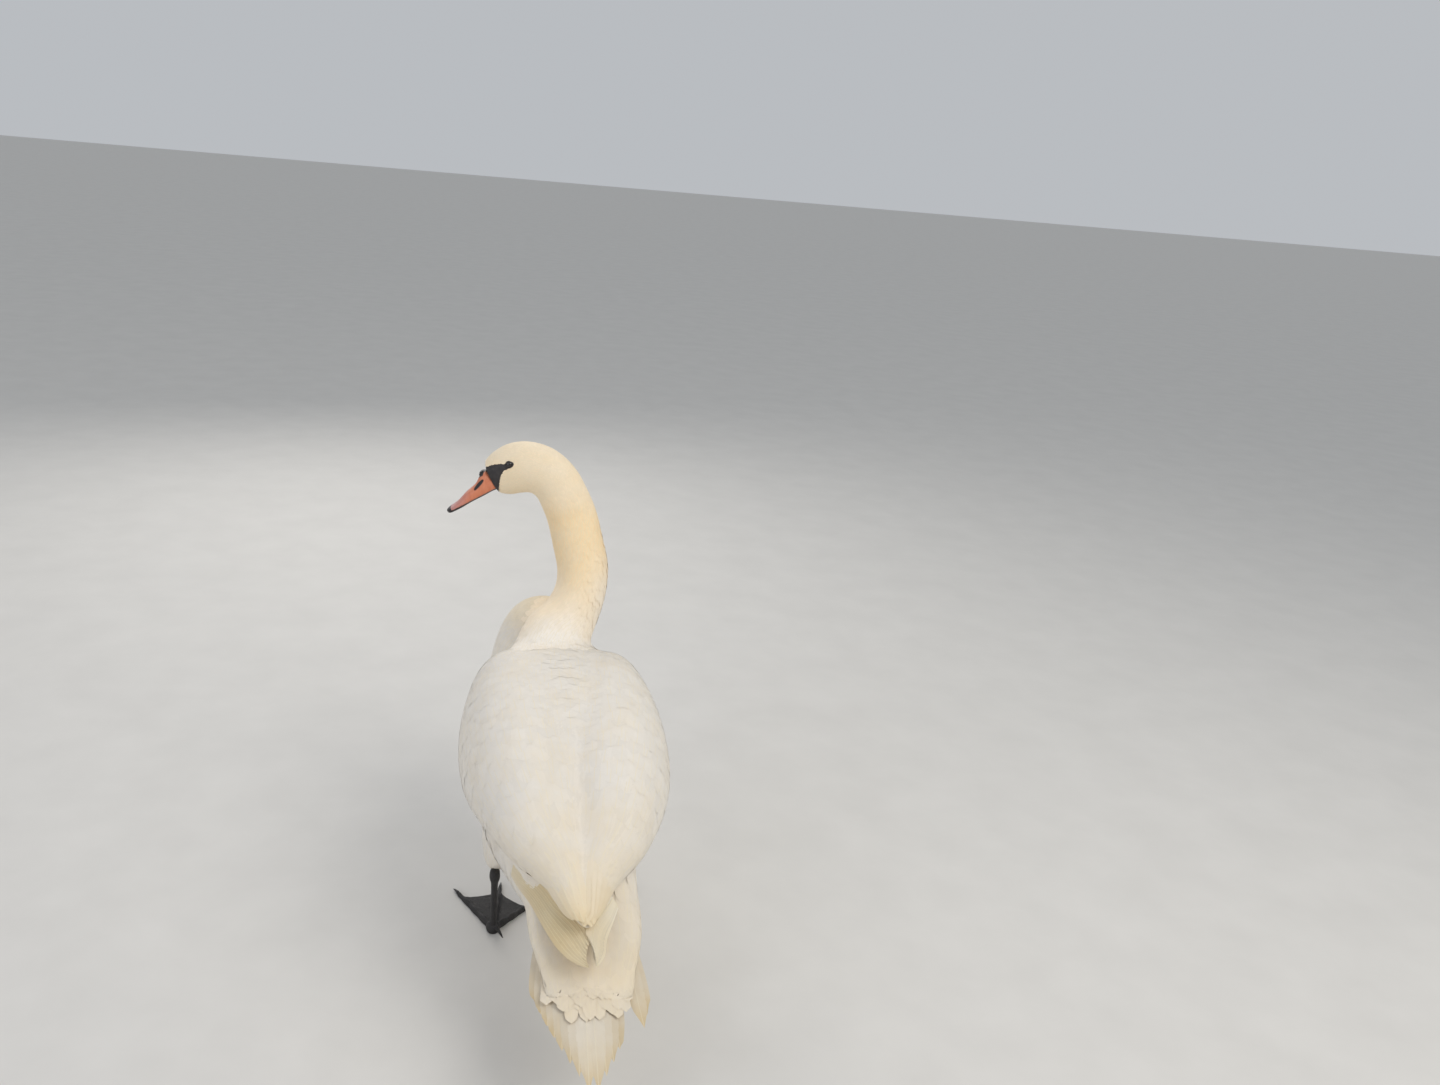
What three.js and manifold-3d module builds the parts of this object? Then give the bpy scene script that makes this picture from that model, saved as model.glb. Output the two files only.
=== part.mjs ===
// Mute swan, standing, as a still life-size model.
// Millimetres, +Z up. The bird faces -Y with its tail towards +Y; +X is its left side.
// The soles lie at z = 0, and the origin is under the middle of the whole bird.
import * as THREE from 'three';
import { mergeVertices } from 'three/addons/utils/BufferGeometryUtils.js';
import Module from 'manifold-3d';

// ---------------------------------------------------------------- driving dimensions

const GAP = 0.3; // clear space between neighbouring pieces
const LEFT = 1;
const RIGHT = -1;

// Where the modelling frame stands in the finished part: it moves the bounding box over the origin.
const FRAME_SHIFT = new THREE.Vector3(-13, -58, 0);

// Head: everything on it is placed in a plane that is turned about the vertical.
const HEAD = {
  x: 91, // the point of the middle plane that lies level with the eyes
  y: -296,
  z: 657,
  turn: 82, // degrees to the bird's left, from looking straight ahead
};
const EYE = { forward: -3.3, up: 4.2, aside: 20.6, radius: 6.8 };
const KNOB = { forward: 37.5, up: -23, length: 9.5, width: 9, height: 8.5, tilt: 38 };

// Planes in the head's own frame that part the bill: its root, the mouth line and the nail.
const FACE = { forward: 27.5, up: -22, aimForward: 0.88, aimUp: -0.47 };
const MOUTH = { forward: 17, up: -41.5, aimForward: -0.53, aimUp: -0.85 };
const NAIL = { forward: 88, up: -81, aimForward: 0.75, aimUp: -0.66 };

// Legs and feet; out counts from the middle line of the bird.
const FOOT = { out: 85, webThickness: 3.2, webReach: 0.9, padRadius: 11, padHeight: 15 };
const STANCE = {
  left: { hand: LEFT, forward: 0, turn: 0 },
  right: { hand: RIGHT, forward: 8, turn: 0 },
};
const TOES = [
  { name: 'inner', angle: -44, length: 86, width: 10.5, height: 9 },
  { name: 'middle', angle: -6, length: 107, width: 11, height: 10 },
  { name: 'outer', angle: 31, length: 108, width: 10.5, height: 9 },
];
const CLAW = { length: 12.5, radius: 3.4, gap: 1.2 };
const HIND_TOE = { angle: -150, length: 19, radius: 3.8, height: 13, gap: 0.8 };
const ANKLE = { back: 12, up: 109, out: 2 };

// Tail: a row of long feathers on each side of the middle line, from the middle pair outwards.
const TAIL = {
  rootX: -24,
  rootY: 222,
  rootZ: 194,
  slope: -13, // degrees below level
  pairs: 8,
  rowWidth: 46, // from the middle to the root of the outermost feather
  fan: 8, // degrees that the outermost feather turns out
  longest: 260,
  shortest: 124,
  featherWidth: 30,
  featherThickness: 2.4,
  arch: 12, // how much lower the outermost feather lies than the middle one
};
// Two feathers of the right side are worn short, and those outside them stand a little apart.
const WORN = { from: 5, to: 6, shorter: 0.8, outerLonger: 1.16, outerTurn: 1, outerShift: 5 };

// ---------------------------------------------------------------- small helpers

const { degToRad, clamp, lerp } = THREE.MathUtils;
const vec = (x, y, z) => new THREE.Vector3(x, y, z);

const wasm = await Module();
wasm.setup();

/** The manifold-3d solid of a closed three.js geometry. */
function solidOf(geometry) {
  const bare = geometry.clone();
  bare.deleteAttribute('normal');
  bare.deleteAttribute('uv');
  const merged = mergeVertices(bare, 1e-4);
  return new wasm.Manifold(new wasm.Mesh({
    numProp: 3,
    vertProperties: merged.getAttribute('position').array,
    triVerts: new Uint32Array(merged.index.array),
  }));
}

/** The three.js geometry of a manifold-3d solid. */
function geometryOf(solid) {
  const { vertProperties, triVerts } = solid.getMesh();
  const geometry = new THREE.BufferGeometry();
  geometry.setAttribute('position', new THREE.BufferAttribute(vertProperties, 3));
  geometry.setIndex(new THREE.BufferAttribute(triVerts, 1));
  return geometry;
}

/** Smooth value at t, from 0 to 1, through evenly spaced knots. */
function along(knots, t) {
  const last = knots.length - 1;
  const place = clamp(t, 0, 1) * last;
  const i = Math.min(Math.floor(place), last - 1);
  const f = place - i;
  const [a, b, c, d] = [i - 1, i, i + 1, i + 2].map((k) => knots[clamp(k, 0, last)]);
  return b + 0.5 * f * (c - a + f * (2 * a - 5 * b + 4 * c - d + f * (3 * (b - c) + d - a)));
}

/** A station of a swept body: the middle of its section and the section's half sizes. */
const station = (x, y, z, wide, up, down, side = vec(1, 0, 0)) => ({ x, y, z, wide, up, down, side });

/**
 * A rounded body swept through stations that run from the bird's front to its back.
 * It is a sphere whose poles are the two ends: each ring of the sphere becomes one section.
 * blunt gives the part of the length over which each end rounds off.
 */
function sweepGeometry(stations, { around, rings, blunt, square = 2, grow = 0 }) {
  const column = (pick) => stations.map(pick);
  const table = Object.fromEntries(
    ['x', 'y', 'z', 'wide', 'up', 'down'].map((key) => [key, column((s) => s[key])]),
  );
  const sideTable = ['x', 'y', 'z'].map((key) => column((s) => s.side[key]));
  const centreAt = (t) => vec(along(table.x, t), along(table.y, t), along(table.z, t));
  const geometry = new THREE.SphereGeometry(1, around, rings);
  const position = geometry.getAttribute('position');
  const [frontEnd, backEnd] = blunt;
  for (let i = 0; i < position.count; i += 1) {
    const unit = vec().fromBufferAttribute(position, i);
    const t = Math.acos(clamp(unit.y, -1, 1)) / Math.PI;
    const angle = Math.atan2(unit.z, -unit.x);
    const front = clamp(t / frontEnd, 0, 1);
    const back = clamp((1 - t) / backEnd, 0, 1);
    const round = Math.sqrt((1 - (1 - front) ** 2) * (1 - (1 - back) ** 2));
    const tangent = centreAt(Math.min(t + 0.01, 1)).sub(centreAt(Math.max(t - 0.01, 0))).normalize();
    const side = vec(...sideTable.map((values) => along(values, t)));
    side.addScaledVector(tangent, -side.dot(tangent)).normalize();
    const dorsal = vec().crossVectors(side, tangent);
    const power = 2 / square;
    const across = Math.sign(Math.cos(angle)) * Math.abs(Math.cos(angle)) ** power;
    const above = Math.sign(Math.sin(angle)) * Math.abs(Math.sin(angle)) ** power;
    const height = along(above > 0 ? table.up : table.down, t) + grow;
    const point = centreAt(t)
      .addScaledVector(side, across * round * (along(table.wide, t) + grow))
      .addScaledVector(dorsal, above * round * height);
    const pole = Math.abs(unit.y) > 1 - 1e-9;
    if (pole) point.copy(centreAt(t)).addScaledVector(tangent, -Math.sign(unit.y) * grow);
    position.setXYZ(i, point.x, point.y, point.z);
  }
  return geometry;
}

/** The solid of a swept body. */
const sweep = (stations, shape) => solidOf(sweepGeometry(stations, shape));

const REACH = 2000; // larger than the bird

/** All the space on the side of a plane that its normal points to, half a gap clear of it. */
function beyond(point, normal) {
  const box = new THREE.BoxGeometry(REACH, REACH, REACH);
  box.translate(0, 0, REACH / 2 + GAP / 2);
  const turn = new THREE.Quaternion().setFromUnitVectors(vec(0, 0, 1), normal.clone().normalize());
  box.applyQuaternion(turn);
  box.translate(point.x, point.y, point.z);
  return solidOf(box);
}

/** Cuts a solid into lengths at planes that are given from front to back. */
function lengths(solid, cuts) {
  const pieces = [];
  let rest = solid;
  for (const { at, towards } of cuts) {
    pieces.push(rest.subtract(beyond(at, towards)).intersect(beyond(at, towards.clone().negate())));
    rest = rest.intersect(beyond(at, towards));
  }
  pieces.push(rest);
  return pieces;
}

// ---------------------------------------------------------------- finishes

const finish = (color, roughness) => new THREE.MeshStandardMaterial({ color, roughness, metalness: 0 });
const WHITE_DOWN = finish('#e9e3da', 0.8);
const CREAM_DOWN = finish('#eadcb8', 0.8);
const WHITE_QUILL = finish('#ece6d8', 0.65);
const CREAM_QUILL = finish('#e3d3a6', 0.65);
const BILL_ORANGE = finish('#d9765a', 0.45);
const BILL_BLACK = finish('#1c1a1a', 0.45);
const EYE_BLACK = finish('#0c0a09', 0.08);
const LEG_BLACK = finish('#2a2928', 0.6);

// ---------------------------------------------------------------- head and neck

const headTurn = degToRad(HEAD.turn);
const headForward = vec(Math.sin(headTurn), -Math.cos(headTurn), 0);
const headLeft = vec(Math.cos(headTurn), Math.sin(headTurn), 0);

/** A direction given by its parts forward, up and to the left of the head. */
function headDirection(forward, up, left = 0) {
  return vec(0, 0, up).addScaledVector(headForward, forward).addScaledVector(headLeft, left);
}

/** A point given by how far it lies forward of, above and to the left of the middle of the head. */
const onHead = (forward, up, left = 0) => headDirection(forward, up, left).add(vec(HEAD.x, HEAD.y, HEAD.z));

/** A station in the plane of the head. */
function headStation(forward, up, wide, above, below) {
  const at = onHead(forward, up);
  return station(at.x, at.y, at.z, wide, above, below, headLeft);
}

/** The direction to the bird's left at a place where the neck has turned by some degrees. */
const turned = (degrees) => vec(Math.cos(degToRad(degrees)), Math.sin(degToRad(degrees)), 0);

const neckLine = [
  headStation(38, -33, 15, 15, 30),
  headStation(14.5, -15.5, 22.5, 32.5, 41),
  headStation(-14.5, -6, 27.5, 43, 42),
  headStation(-47, -8, 30.5, 44, 38),
  headStation(-73.5, -25.5, 31.5, 43, 36),
  headStation(-91, -55, 33.5, 44, 36),
  station(-13, -284, 572, 36, 45, 38, turned(70)),
  station(-25, -272, 535, 38, 45, 40, turned(55)),
  station(-35, -253, 498, 40, 44, 41, turned(40)),
  station(-32, -235, 461, 41, 42, 43, turned(25)),
  station(-16, -217, 426, 46, 42, 49, turned(10)),
  station(6, -196, 394, 58, 50, 52, turned(0)),
  station(14, -168, 352, 62, 50, 52, turned(0)),
];
const NECK_SHAPE = { around: 16, rings: 27, blunt: [0.06, 0.05] };

// ---------------------------------------------------------------- trunk

const trunkLine = [
  station(12, -310, 300, 60, 48, 58),
  station(9, -243, 301, 98, 92, 96),
  station(6, -176, 293, 118, 122, 118),
  station(4, -114, 282, 123, 136, 129),
  station(3, -53, 269, 124, 142, 133),
  station(0, 8, 256, 120, 136, 129),
  station(-5, 72, 242, 112, 120, 117),
  station(-11, 135, 230, 93, 92, 98),
  station(-21, 199, 214, 77, 46, 66),
  station(-26, 262, 196, 75, 18, 34),
  station(-26, 332, 180, 68, 8, 8),
];
const TRUNK_SHAPE = { around: 24, rings: 22, blunt: [0.2, 0.08], square: 2.15 };

// The lower loop of the neck, which bulges forward and to the left above the breast.
const cropLine = [
  station(4, -232, 416, 38, 37, 42),
  station(18, -268, 400, 50, 41, 45),
  station(27, -290, 371, 62, 51, 55),
  station(27, -292, 334, 77, 55, 59),
  station(20, -280, 298, 94, 55, 55),
  station(13, -256, 264, 105, 50, 48),
  station(9, -226, 236, 105, 44, 38),
  station(7, -190, 214, 92, 34, 24),
];
const CROP_SHAPE = { around: 16, rings: 12, blunt: [0.22, 0.2] };

/** The trunk, the lower neck loop and the neck with the head, each grown by some millimetres. */
const trunkShape = (grow = 0) => sweep(trunkLine, { ...TRUNK_SHAPE, grow });
const cropShape = (grow = 0) => sweep(cropLine, { ...CROP_SHAPE, grow });
const neckShape = (grow = 0) => sweep(neckLine, { ...NECK_SHAPE, grow });

// ---------------------------------------------------------------- bill and eyes

// The bill as one closed shape, before it is parted into its plates.
const billLine = [
  headStation(24, -23, 15.5, 22, 18),
  headStation(33, -32, 16, 19.5, 15),
  headStation(44, -45.5, 15.5, 13.6, 10.6),
  headStation(60, -60.5, 15, 9.2, 9.2),
  headStation(75, -74.5, 14.5, 6.4, 6.2),
  headStation(88, -84, 13, 5, 4.8),
  headStation(95, -88.5, 9, 4, 4),
];
const BILL_SHAPE = { around: 14, rings: 12, blunt: [0.1, 0.14], square: 2.3 };
const billShape = (grow = 0) => sweep(billLine, { ...BILL_SHAPE, grow });

/** An ellipsoid on the head, tilted in the head's plane; its half sizes run forward, aside and up. */
function headBall({ forward, up, aside = 0, length, width, height, tilt = 0 }, grow = 0, sides = 16) {
  const ball = new THREE.SphereGeometry(1, sides, sides / 2);
  ball.scale(width + grow, length + grow, height + grow);
  ball.rotateX(degToRad(tilt));
  ball.rotateZ(headTurn + Math.PI);
  const at = onHead(forward, up, aside);
  ball.translate(at.x, at.y, at.z);
  return solidOf(ball);
}
const knobShape = (grow = 0) => headBall(KNOB, grow, 10);
const eyeShape = (hand, grow = 0) => headBall({
  forward: EYE.forward,
  up: EYE.up,
  aside: hand * EYE.aside,
  length: EYE.radius,
  width: EYE.radius,
  height: EYE.radius,
}, grow, 10);

// ---------------------------------------------------------------- wings

// The middle line between the wings, from the shoulders to the tail: it bends to the bird's right.
const WING_MIDDLE = { front: 3, back: -14 };
// The middle line between the two blades, which lies over the middle of the rump.
const BLADE_MIDDLE = { front: 12, back: -26 };
const MIDDLE_FROM = -220; // where along the bird both lines start and end
const MIDDLE_TO = 330;
const WING_OVERLAP = 7; // how much the tip of the left wing is widened, moving in twice as far over the right

// A folded wing: a shield over the flank from the shoulder to the end of the long inner feathers.
// out counts from the middle line, and lean is the inward tilt of its face in degrees.
const WING = [
  { out: 76, y: -226, z: 314, thick: 31, up: 36, down: 34, lean: 6 },
  { out: 76, y: -161, z: 316, thick: 59, up: 80, down: 74, lean: 10 },
  { out: 73, y: -92, z: 314, thick: 75, up: 98, down: 90, lean: 14 },
  { out: 72, y: -20, z: 308, thick: 81, up: 101, down: 94, lean: 16 },
  { out: 69, y: 51, z: 298, thick: 79, up: 95, down: 86, lean: 18 },
  { out: 61, y: 123, z: 284, thick: 70, up: 80, down: 58, lean: 22 },
  { out: 47, y: 192, z: 268, thick: 52, up: 56, down: 34, lean: 26 },
  { out: 23, y: 251, z: 254, thick: 27, up: 34, down: 18, lean: 24 },
  { out: 3, y: 318, z: 237, thick: 10, up: 8, down: 8, lean: 14 },
];
const WING_SHAPE = { around: 16, rings: 15, blunt: [0.16, 0.08], square: 2.2 };

// The long outer feathers of a wing, folded together into one blade that crosses the rump.
// The right one lies deeper under the coverts, narrower and closer to the middle.
const BLADE_LEFT = [
  { out: 92, y: 150, z: 224, thick: 3.5, up: 14, down: 11, lean: 14 },
  { out: 82, y: 190, z: 226, thick: 4, up: 18, down: 11, lean: 30 },
  { out: 62, y: 229, z: 226, thick: 4.5, up: 22, down: 13, lean: 43 },
  { out: 48, y: 270, z: 224, thick: 4.5, up: 22, down: 14, lean: 50 },
  { out: 28, y: 302, z: 221, thick: 4, up: 21, down: 21, lean: 62 },
  { out: 17, y: 330, z: 216, thick: 3, up: 14, down: 17, lean: 68 },
  { out: 8, y: 356, z: 212, thick: 1.5, up: 3, down: 5, lean: 68 },
];
const BLADE_RIGHT = [
  { out: 92, y: 150, z: 224, thick: 3.5, up: 14, down: 11, lean: 14 },
  { out: 80, y: 190, z: 226, thick: 4, up: 15, down: 10, lean: 30 },
  { out: 55, y: 229, z: 226, thick: 4.5, up: 15, down: 10, lean: 43 },
  { out: 34, y: 270, z: 225, thick: 4.5, up: 14, down: 10, lean: 50 },
  { out: 17, y: 302, z: 222, thick: 4, up: 13, down: 11, lean: 62 },
  { out: 11, y: 330, z: 217, thick: 3, up: 9, down: 10, lean: 68 },
  { out: 6, y: 356, z: 212, thick: 1.5, up: 3, down: 4, lean: 68 },
];
const BLADE_SHAPE = { around: 8, rings: 10, blunt: [0.1, 0.12] };

/** The stations of a folded wing or of its blade, on one side of the bird. */
function wingLine(table, middle, hand, overlap = 0) {
  return table.map(({ out, y, z, thick, up, down, lean }) => {
    const t = (y - MIDDLE_FROM) / (MIDDLE_TO - MIDDLE_FROM);
    const tilt = degToRad(lean) * hand;
    const x = lerp(middle.front, middle.back, t) + hand * (out - 2 * overlap * t);
    return station(x, y, z, thick + overlap * t, up, down, vec(Math.cos(tilt), 0, Math.sin(tilt)));
  });
}
const OVERLAP = { [LEFT]: WING_OVERLAP, [RIGHT]: 0 };
const wingShape = (hand, grow = 0) => sweep(
  wingLine(WING, WING_MIDDLE, hand, OVERLAP[hand]),
  { ...WING_SHAPE, grow },
);
const BLADE = { [LEFT]: BLADE_LEFT, [RIGHT]: BLADE_RIGHT };
const bladeShape = (hand, grow = 0) => sweep(
  wingLine(BLADE[hand], BLADE_MIDDLE, hand),
  { ...BLADE_SHAPE, grow },
);

// ---------------------------------------------------------------- tail

/** The outline of one long feather that points along +Y from its root. */
function featherOutline(length, width) {
  const half = width / 2;
  const outline = new THREE.Shape();
  outline.moveTo(-half * 0.5, 0);
  outline.bezierCurveTo(-half, length * 0.3, -half * 1.1, length * 0.72, -half * 0.75, length * 0.86);
  outline.quadraticCurveTo(-half * 0.4, length * 0.97, 0, length);
  outline.quadraticCurveTo(half * 0.4, length * 0.97, half * 0.75, length * 0.86);
  outline.bezierCurveTo(half * 1.1, length * 0.72, half, length * 0.3, half * 0.5, 0);
  return outline;
}

/** One tail feather; place counts outwards from the middle pair, which is 1. */
function tailFeather(place, hand) {
  const out = (place - 0.5) / (TAIL.pairs - 0.5);
  const right = hand === RIGHT;
  const worn = right && place >= WORN.from && place <= WORN.to;
  const apart = right && place > WORN.to;
  const wear = worn ? WORN.shorter : 1;
  const length = lerp(TAIL.longest, TAIL.shortest, out) * (apart ? WORN.outerLonger : wear);
  const vane = new THREE.ExtrudeGeometry(featherOutline(length, TAIL.featherWidth), {
    depth: TAIL.featherThickness,
    bevelEnabled: false,
    curveSegments: 2,
  });
  vane.rotateZ(-hand * degToRad(out * TAIL.fan + (apart ? WORN.outerTurn : 0)));
  vane.translate(hand * (out * TAIL.rowWidth + (apart ? WORN.outerShift : 0)), 0, -TAIL.arch * out ** 1.5);
  vane.rotateX(degToRad(TAIL.slope));
  vane.translate(TAIL.rootX, TAIL.rootY, TAIL.rootZ);
  return solidOf(vane);
}

/** The joined feathers of one side of the tail whose places lie in a range. */
function tailFan(hand, from, to) {
  let fan = tailFeather(from, hand);
  for (let place = from + 1; place <= to; place += 1) fan = fan.add(tailFeather(place, hand));
  return fan;
}

// ---------------------------------------------------------------- legs and feet

/** Moves a shape from the frame of a foot, heel at the origin and toes along -Y, to its place. */
function planted(shape, { hand, forward, turn }) {
  return shape.rotateZ(hand * degToRad(turn)).translate(hand * FOOT.out, -forward, 0);
}

/** The direction in which a toe of a foot at the origin points. */
const toeAim = (hand, angle) => vec(hand * Math.sin(degToRad(angle)), -Math.cos(degToRad(angle)), 0);

/** A toe with its knuckles; what lies under the floor is cut off later. */
function toeShape({ angle, length, width, height }, hand) {
  const aim = toeAim(hand, angle);
  const side = vec(-aim.y, aim.x, 0);
  const line = [0, 0.25, 0.5, 0.75, 1].map((t, i) => {
    const swell = i % 2 ? 0.82 : 1;
    const high = height * lerp(1, 0.62, t) * swell;
    const wide = (width / 2) * lerp(1, 0.7, t) * swell;
    return station(aim.x * length * t, aim.y * length * t, high * 0.35, wide, high * 0.65, high, side);
  });
  return sweepGeometry(line, { around: 6, rings: 7, blunt: [0.06, 0.08] });
}

/** The web between the toes, with a hollow front edge in each space. */
function webShape(hand) {
  const heel = vec(0, 0, 0);
  const [inner, middle, outer] = TOES.map(
    ({ angle, length }) => toeAim(hand, angle).multiplyScalar(length * FOOT.webReach),
  );
  const hollow = (a, b) => a.clone().add(b).multiplyScalar(0.5).lerp(heel, 0.12);
  const first = hollow(inner, middle);
  const second = hollow(middle, outer);
  const web = new THREE.Shape();
  web.moveTo(heel.x, FOOT.padRadius * 0.6);
  web.lineTo(inner.x, inner.y);
  web.quadraticCurveTo(first.x, first.y, middle.x, middle.y);
  web.quadraticCurveTo(second.x, second.y, outer.x, outer.y);
  web.closePath();
  return new THREE.ExtrudeGeometry(web, {
    depth: FOOT.webThickness,
    bevelEnabled: false,
    curveSegments: 4,
  });
}

/** A claw that carries on from a tip and bends down. */
function clawShape({ angle, length }, hand) {
  const aim = toeAim(hand, angle);
  const line = [0, 0.4, 0.75, 1].map((t) => {
    const reach = length + CLAW.gap + CLAW.length * t;
    const thick = CLAW.radius * (1 - 0.8 * t);
    const up = lerp(CLAW.radius, 1 + thick, t ** 1.4);
    return station(aim.x * reach, aim.y * reach, up, thick * 0.8, thick, thick * 0.8, vec(-aim.y, aim.x, 0));
  });
  return sweepGeometry(line, { around: 6, rings: 5, blunt: [0.1, 0.1] });
}

/** The small hind toe, which hangs clear of the floor with its claw. */
function hindToeShape(hand) {
  const aim = toeAim(hand, HIND_TOE.angle);
  const line = [0, 0.35, 0.7, 1].map((t) => {
    const reach = FOOT.padRadius + HIND_TOE.gap + HIND_TOE.length * t;
    const thick = HIND_TOE.radius * (1 - 0.7 * t ** 1.5);
    const up = HIND_TOE.height - 7 * t ** 1.5;
    return station(aim.x * reach, aim.y * reach, up, thick * 0.8, thick, thick, vec(-aim.y, aim.x, 0));
  });
  return sweepGeometry(line, { around: 8, rings: 7, blunt: [0.1, 0.14] });
}

/** The shank between the ankle and the toes, deeper than it is wide. */
function shankShape(hand, grow = 0) {
  const line = [
    { t: 1.08, wide: 7, deep: 9 },
    { t: 0.94, wide: 8, deep: 10.5 },
    { t: 0.8, wide: 5.4, deep: 7.6 },
    { t: 0.5, wide: 4.9, deep: 6.9 },
    { t: 0.2, wide: 5.1, deep: 7.2 },
    { t: 0, wide: 6.6, deep: 8.4 },
  ].map(({ t, wide, deep }) => {
    const up = lerp(FOOT.padHeight, ANKLE.up, t);
    return station(hand * ANKLE.out * t, ANKLE.back * t, up, wide, deep, deep);
  });
  return sweepGeometry(line, { around: 10, rings: 12, blunt: [0.08, 0.06], grow });
}

/** The rounded pad where the toes meet under the shank. */
function padShape() {
  const pad = new THREE.SphereGeometry(FOOT.padRadius, 10, 6);
  return pad.translate(0, -2, FOOT.padRadius * 0.55);
}

/** The feathered part of the leg, from the flank down to the ankle. */
function thighShape(hand) {
  const line = [
    station(hand * 66, -52, 214, 38, 54, 48),
    station(hand * 74, -40, 180, 35, 48, 44),
    station(hand * 82, -18, 144, 26, 33, 33),
    station(hand * 87, 5, 110, 13, 16, 16),
  ];
  return sweepGeometry(line, { around: 12, rings: 9, blunt: [0.2, 0.16] });
}

// ---------------------------------------------------------------- assembly

const swan = new THREE.Group();
swan.position.copy(FRAME_SHIFT);

/** Adds a solid or a geometry to the bird as a named piece. */
function add(name, shape, material) {
  const geometry = shape.isBufferGeometry ? shape : geometryOf(shape);
  const mesh = new THREE.Mesh(geometry, material);
  mesh.name = name;
  swan.add(mesh);
  return mesh;
}

/** The biggest body of a solid that a cut has parted. */
function largest(solid) {
  return solid.decompose().reduce((kept, body) => (body.volume() > kept.volume() ? body : kept));
}

const up = vec(0, 0, 1);
const trunkRoom = trunkShape(GAP);
const cropRoom = cropShape(GAP);
const neckRoom = neckShape(GAP);

// Head, bill and neck.
const neckAndHead = neckShape().subtract(cropRoom).subtract(trunkRoom);
const [neckLower, neckMiddle, neckUpper, headWhole] = lengths(neckAndHead, [
  { at: vec(-24, -231, 455), towards: vec(0.3, -0.35, 1) },
  { at: vec(-28, -261, 516), towards: vec(0.15, -0.35, 1) },
  { at: onHead(-82, -51), towards: headDirection(0.72, 0.7) },
]);
const faceSide = beyond(onHead(FACE.forward, FACE.up), headDirection(FACE.aimForward, FACE.aimUp));
const head = headWhole
  .subtract(beyond(onHead(FACE.forward - GAP, FACE.up), headDirection(FACE.aimForward, FACE.aimUp)))
  .subtract(knobShape(GAP))
  .subtract(eyeShape(LEFT, GAP))
  .subtract(eyeShape(RIGHT, GAP));
add('head', head, CREAM_DOWN);
add('neck_upper', neckUpper, CREAM_DOWN);
add('neck_middle', neckMiddle, CREAM_DOWN);
add('neck_lower', neckLower, CREAM_DOWN);
add('eye_left', eyeShape(LEFT), EYE_BLACK);
add('eye_right', eyeShape(RIGHT), EYE_BLACK);

const bill = billShape().intersect(faceSide).subtract(knobShape(GAP));
const mouthAt = onHead(MOUTH.forward, MOUTH.up);
const mouthAim = headDirection(MOUTH.aimForward, MOUTH.aimUp);
const nailAt = onHead(NAIL.forward, NAIL.up);
const nailAim = headDirection(NAIL.aimForward, NAIL.aimUp);
const behindNail = bill.intersect(beyond(nailAt, nailAim.clone().negate()));
add('bill_upper', behindNail.intersect(beyond(mouthAt, mouthAim.clone().negate())), BILL_ORANGE);
add('bill_lower', behindNail.intersect(beyond(mouthAt, mouthAim)), BILL_BLACK);
add('bill_nail', bill.intersect(beyond(nailAt, nailAim)), BILL_BLACK);
add('bill_knob', knobShape(), BILL_BLACK);

// Body, from the breast to the rump.
const [breast, trunk, rump] = lengths(trunkShape(), [
  { at: vec(0, -176, 293), towards: vec(0, 1, -0.2) },
  { at: vec(0, 178, 220), towards: vec(0, 1, -0.25) },
]);
add('neck_base', cropShape().subtract(trunkRoom), WHITE_DOWN);
add('breast', breast, WHITE_DOWN);
add('trunk', trunk, WHITE_DOWN);
add('rump', rump, WHITE_DOWN);

// Wings: the left one lies over the right one behind the middle of the back.
const bodyRoom = trunkRoom.add(cropRoom).add(neckRoom);
const roomUnderLeft = bodyRoom.add(wingShape(LEFT, GAP));
const roomUnderWings = roomUnderLeft.add(wingShape(RIGHT, GAP));
add('wing_left', wingShape(LEFT).subtract(bodyRoom), WHITE_DOWN);
add('wing_right', largest(wingShape(RIGHT).subtract(roomUnderLeft)), WHITE_DOWN);
add('primaries_left', largest(bladeShape(LEFT).subtract(roomUnderWings)), CREAM_QUILL);
const roomUnderBlade = roomUnderWings.add(bladeShape(LEFT, GAP));
add('primaries_right', largest(bladeShape(RIGHT).subtract(roomUnderBlade)), CREAM_QUILL);

// Tail: each side of the fan is one piece, parted along the middle line.
const tailMiddle = vec(TAIL.rootX, TAIL.rootY, TAIL.rootZ);
const tailRoom = roomUnderBlade.add(bladeShape(RIGHT, GAP));
for (const [side, hand] of [['left', LEFT], ['right', RIGHT]]) {
  const half = beyond(tailMiddle, vec(hand, 0, 0));
  add(`tail_${side}`, tailFan(hand, 1, TAIL.pairs).intersect(half).subtract(tailRoom), WHITE_QUILL);
}

// Legs.
for (const [side, stance] of Object.entries(STANCE)) {
  const { hand } = stance;
  const shank = solidOf(planted(shankShape(hand), stance));
  const shankRoom = solidOf(planted(shankShape(hand, GAP), stance));
  const thighRoom = trunkRoom.add(wingShape(hand, GAP)).add(shankRoom);
  const thigh = solidOf(thighShape(hand)).subtract(thighRoom);
  add(`thigh_${side}`, thigh, WHITE_DOWN);
  add(`shank_${side}`, shank, LEG_BLACK);
  let foot = solidOf(planted(webShape(hand), stance)).add(solidOf(planted(padShape(), stance)));
  for (const toe of TOES) foot = foot.add(solidOf(planted(toeShape(toe, hand), stance)));
  foot = foot.subtract(shankRoom).intersect(beyond(vec(0, 0, -GAP / 2), up));
  add(`foot_${side}`, foot, LEG_BLACK);
  add(`hind_toe_${side}`, planted(hindToeShape(hand), stance), LEG_BLACK);
  for (const toe of TOES) {
    add(`claw_${side}_${toe.name}`, planted(clawShape(toe, hand), stance), BILL_BLACK);
  }
}

export default swan;
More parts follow.
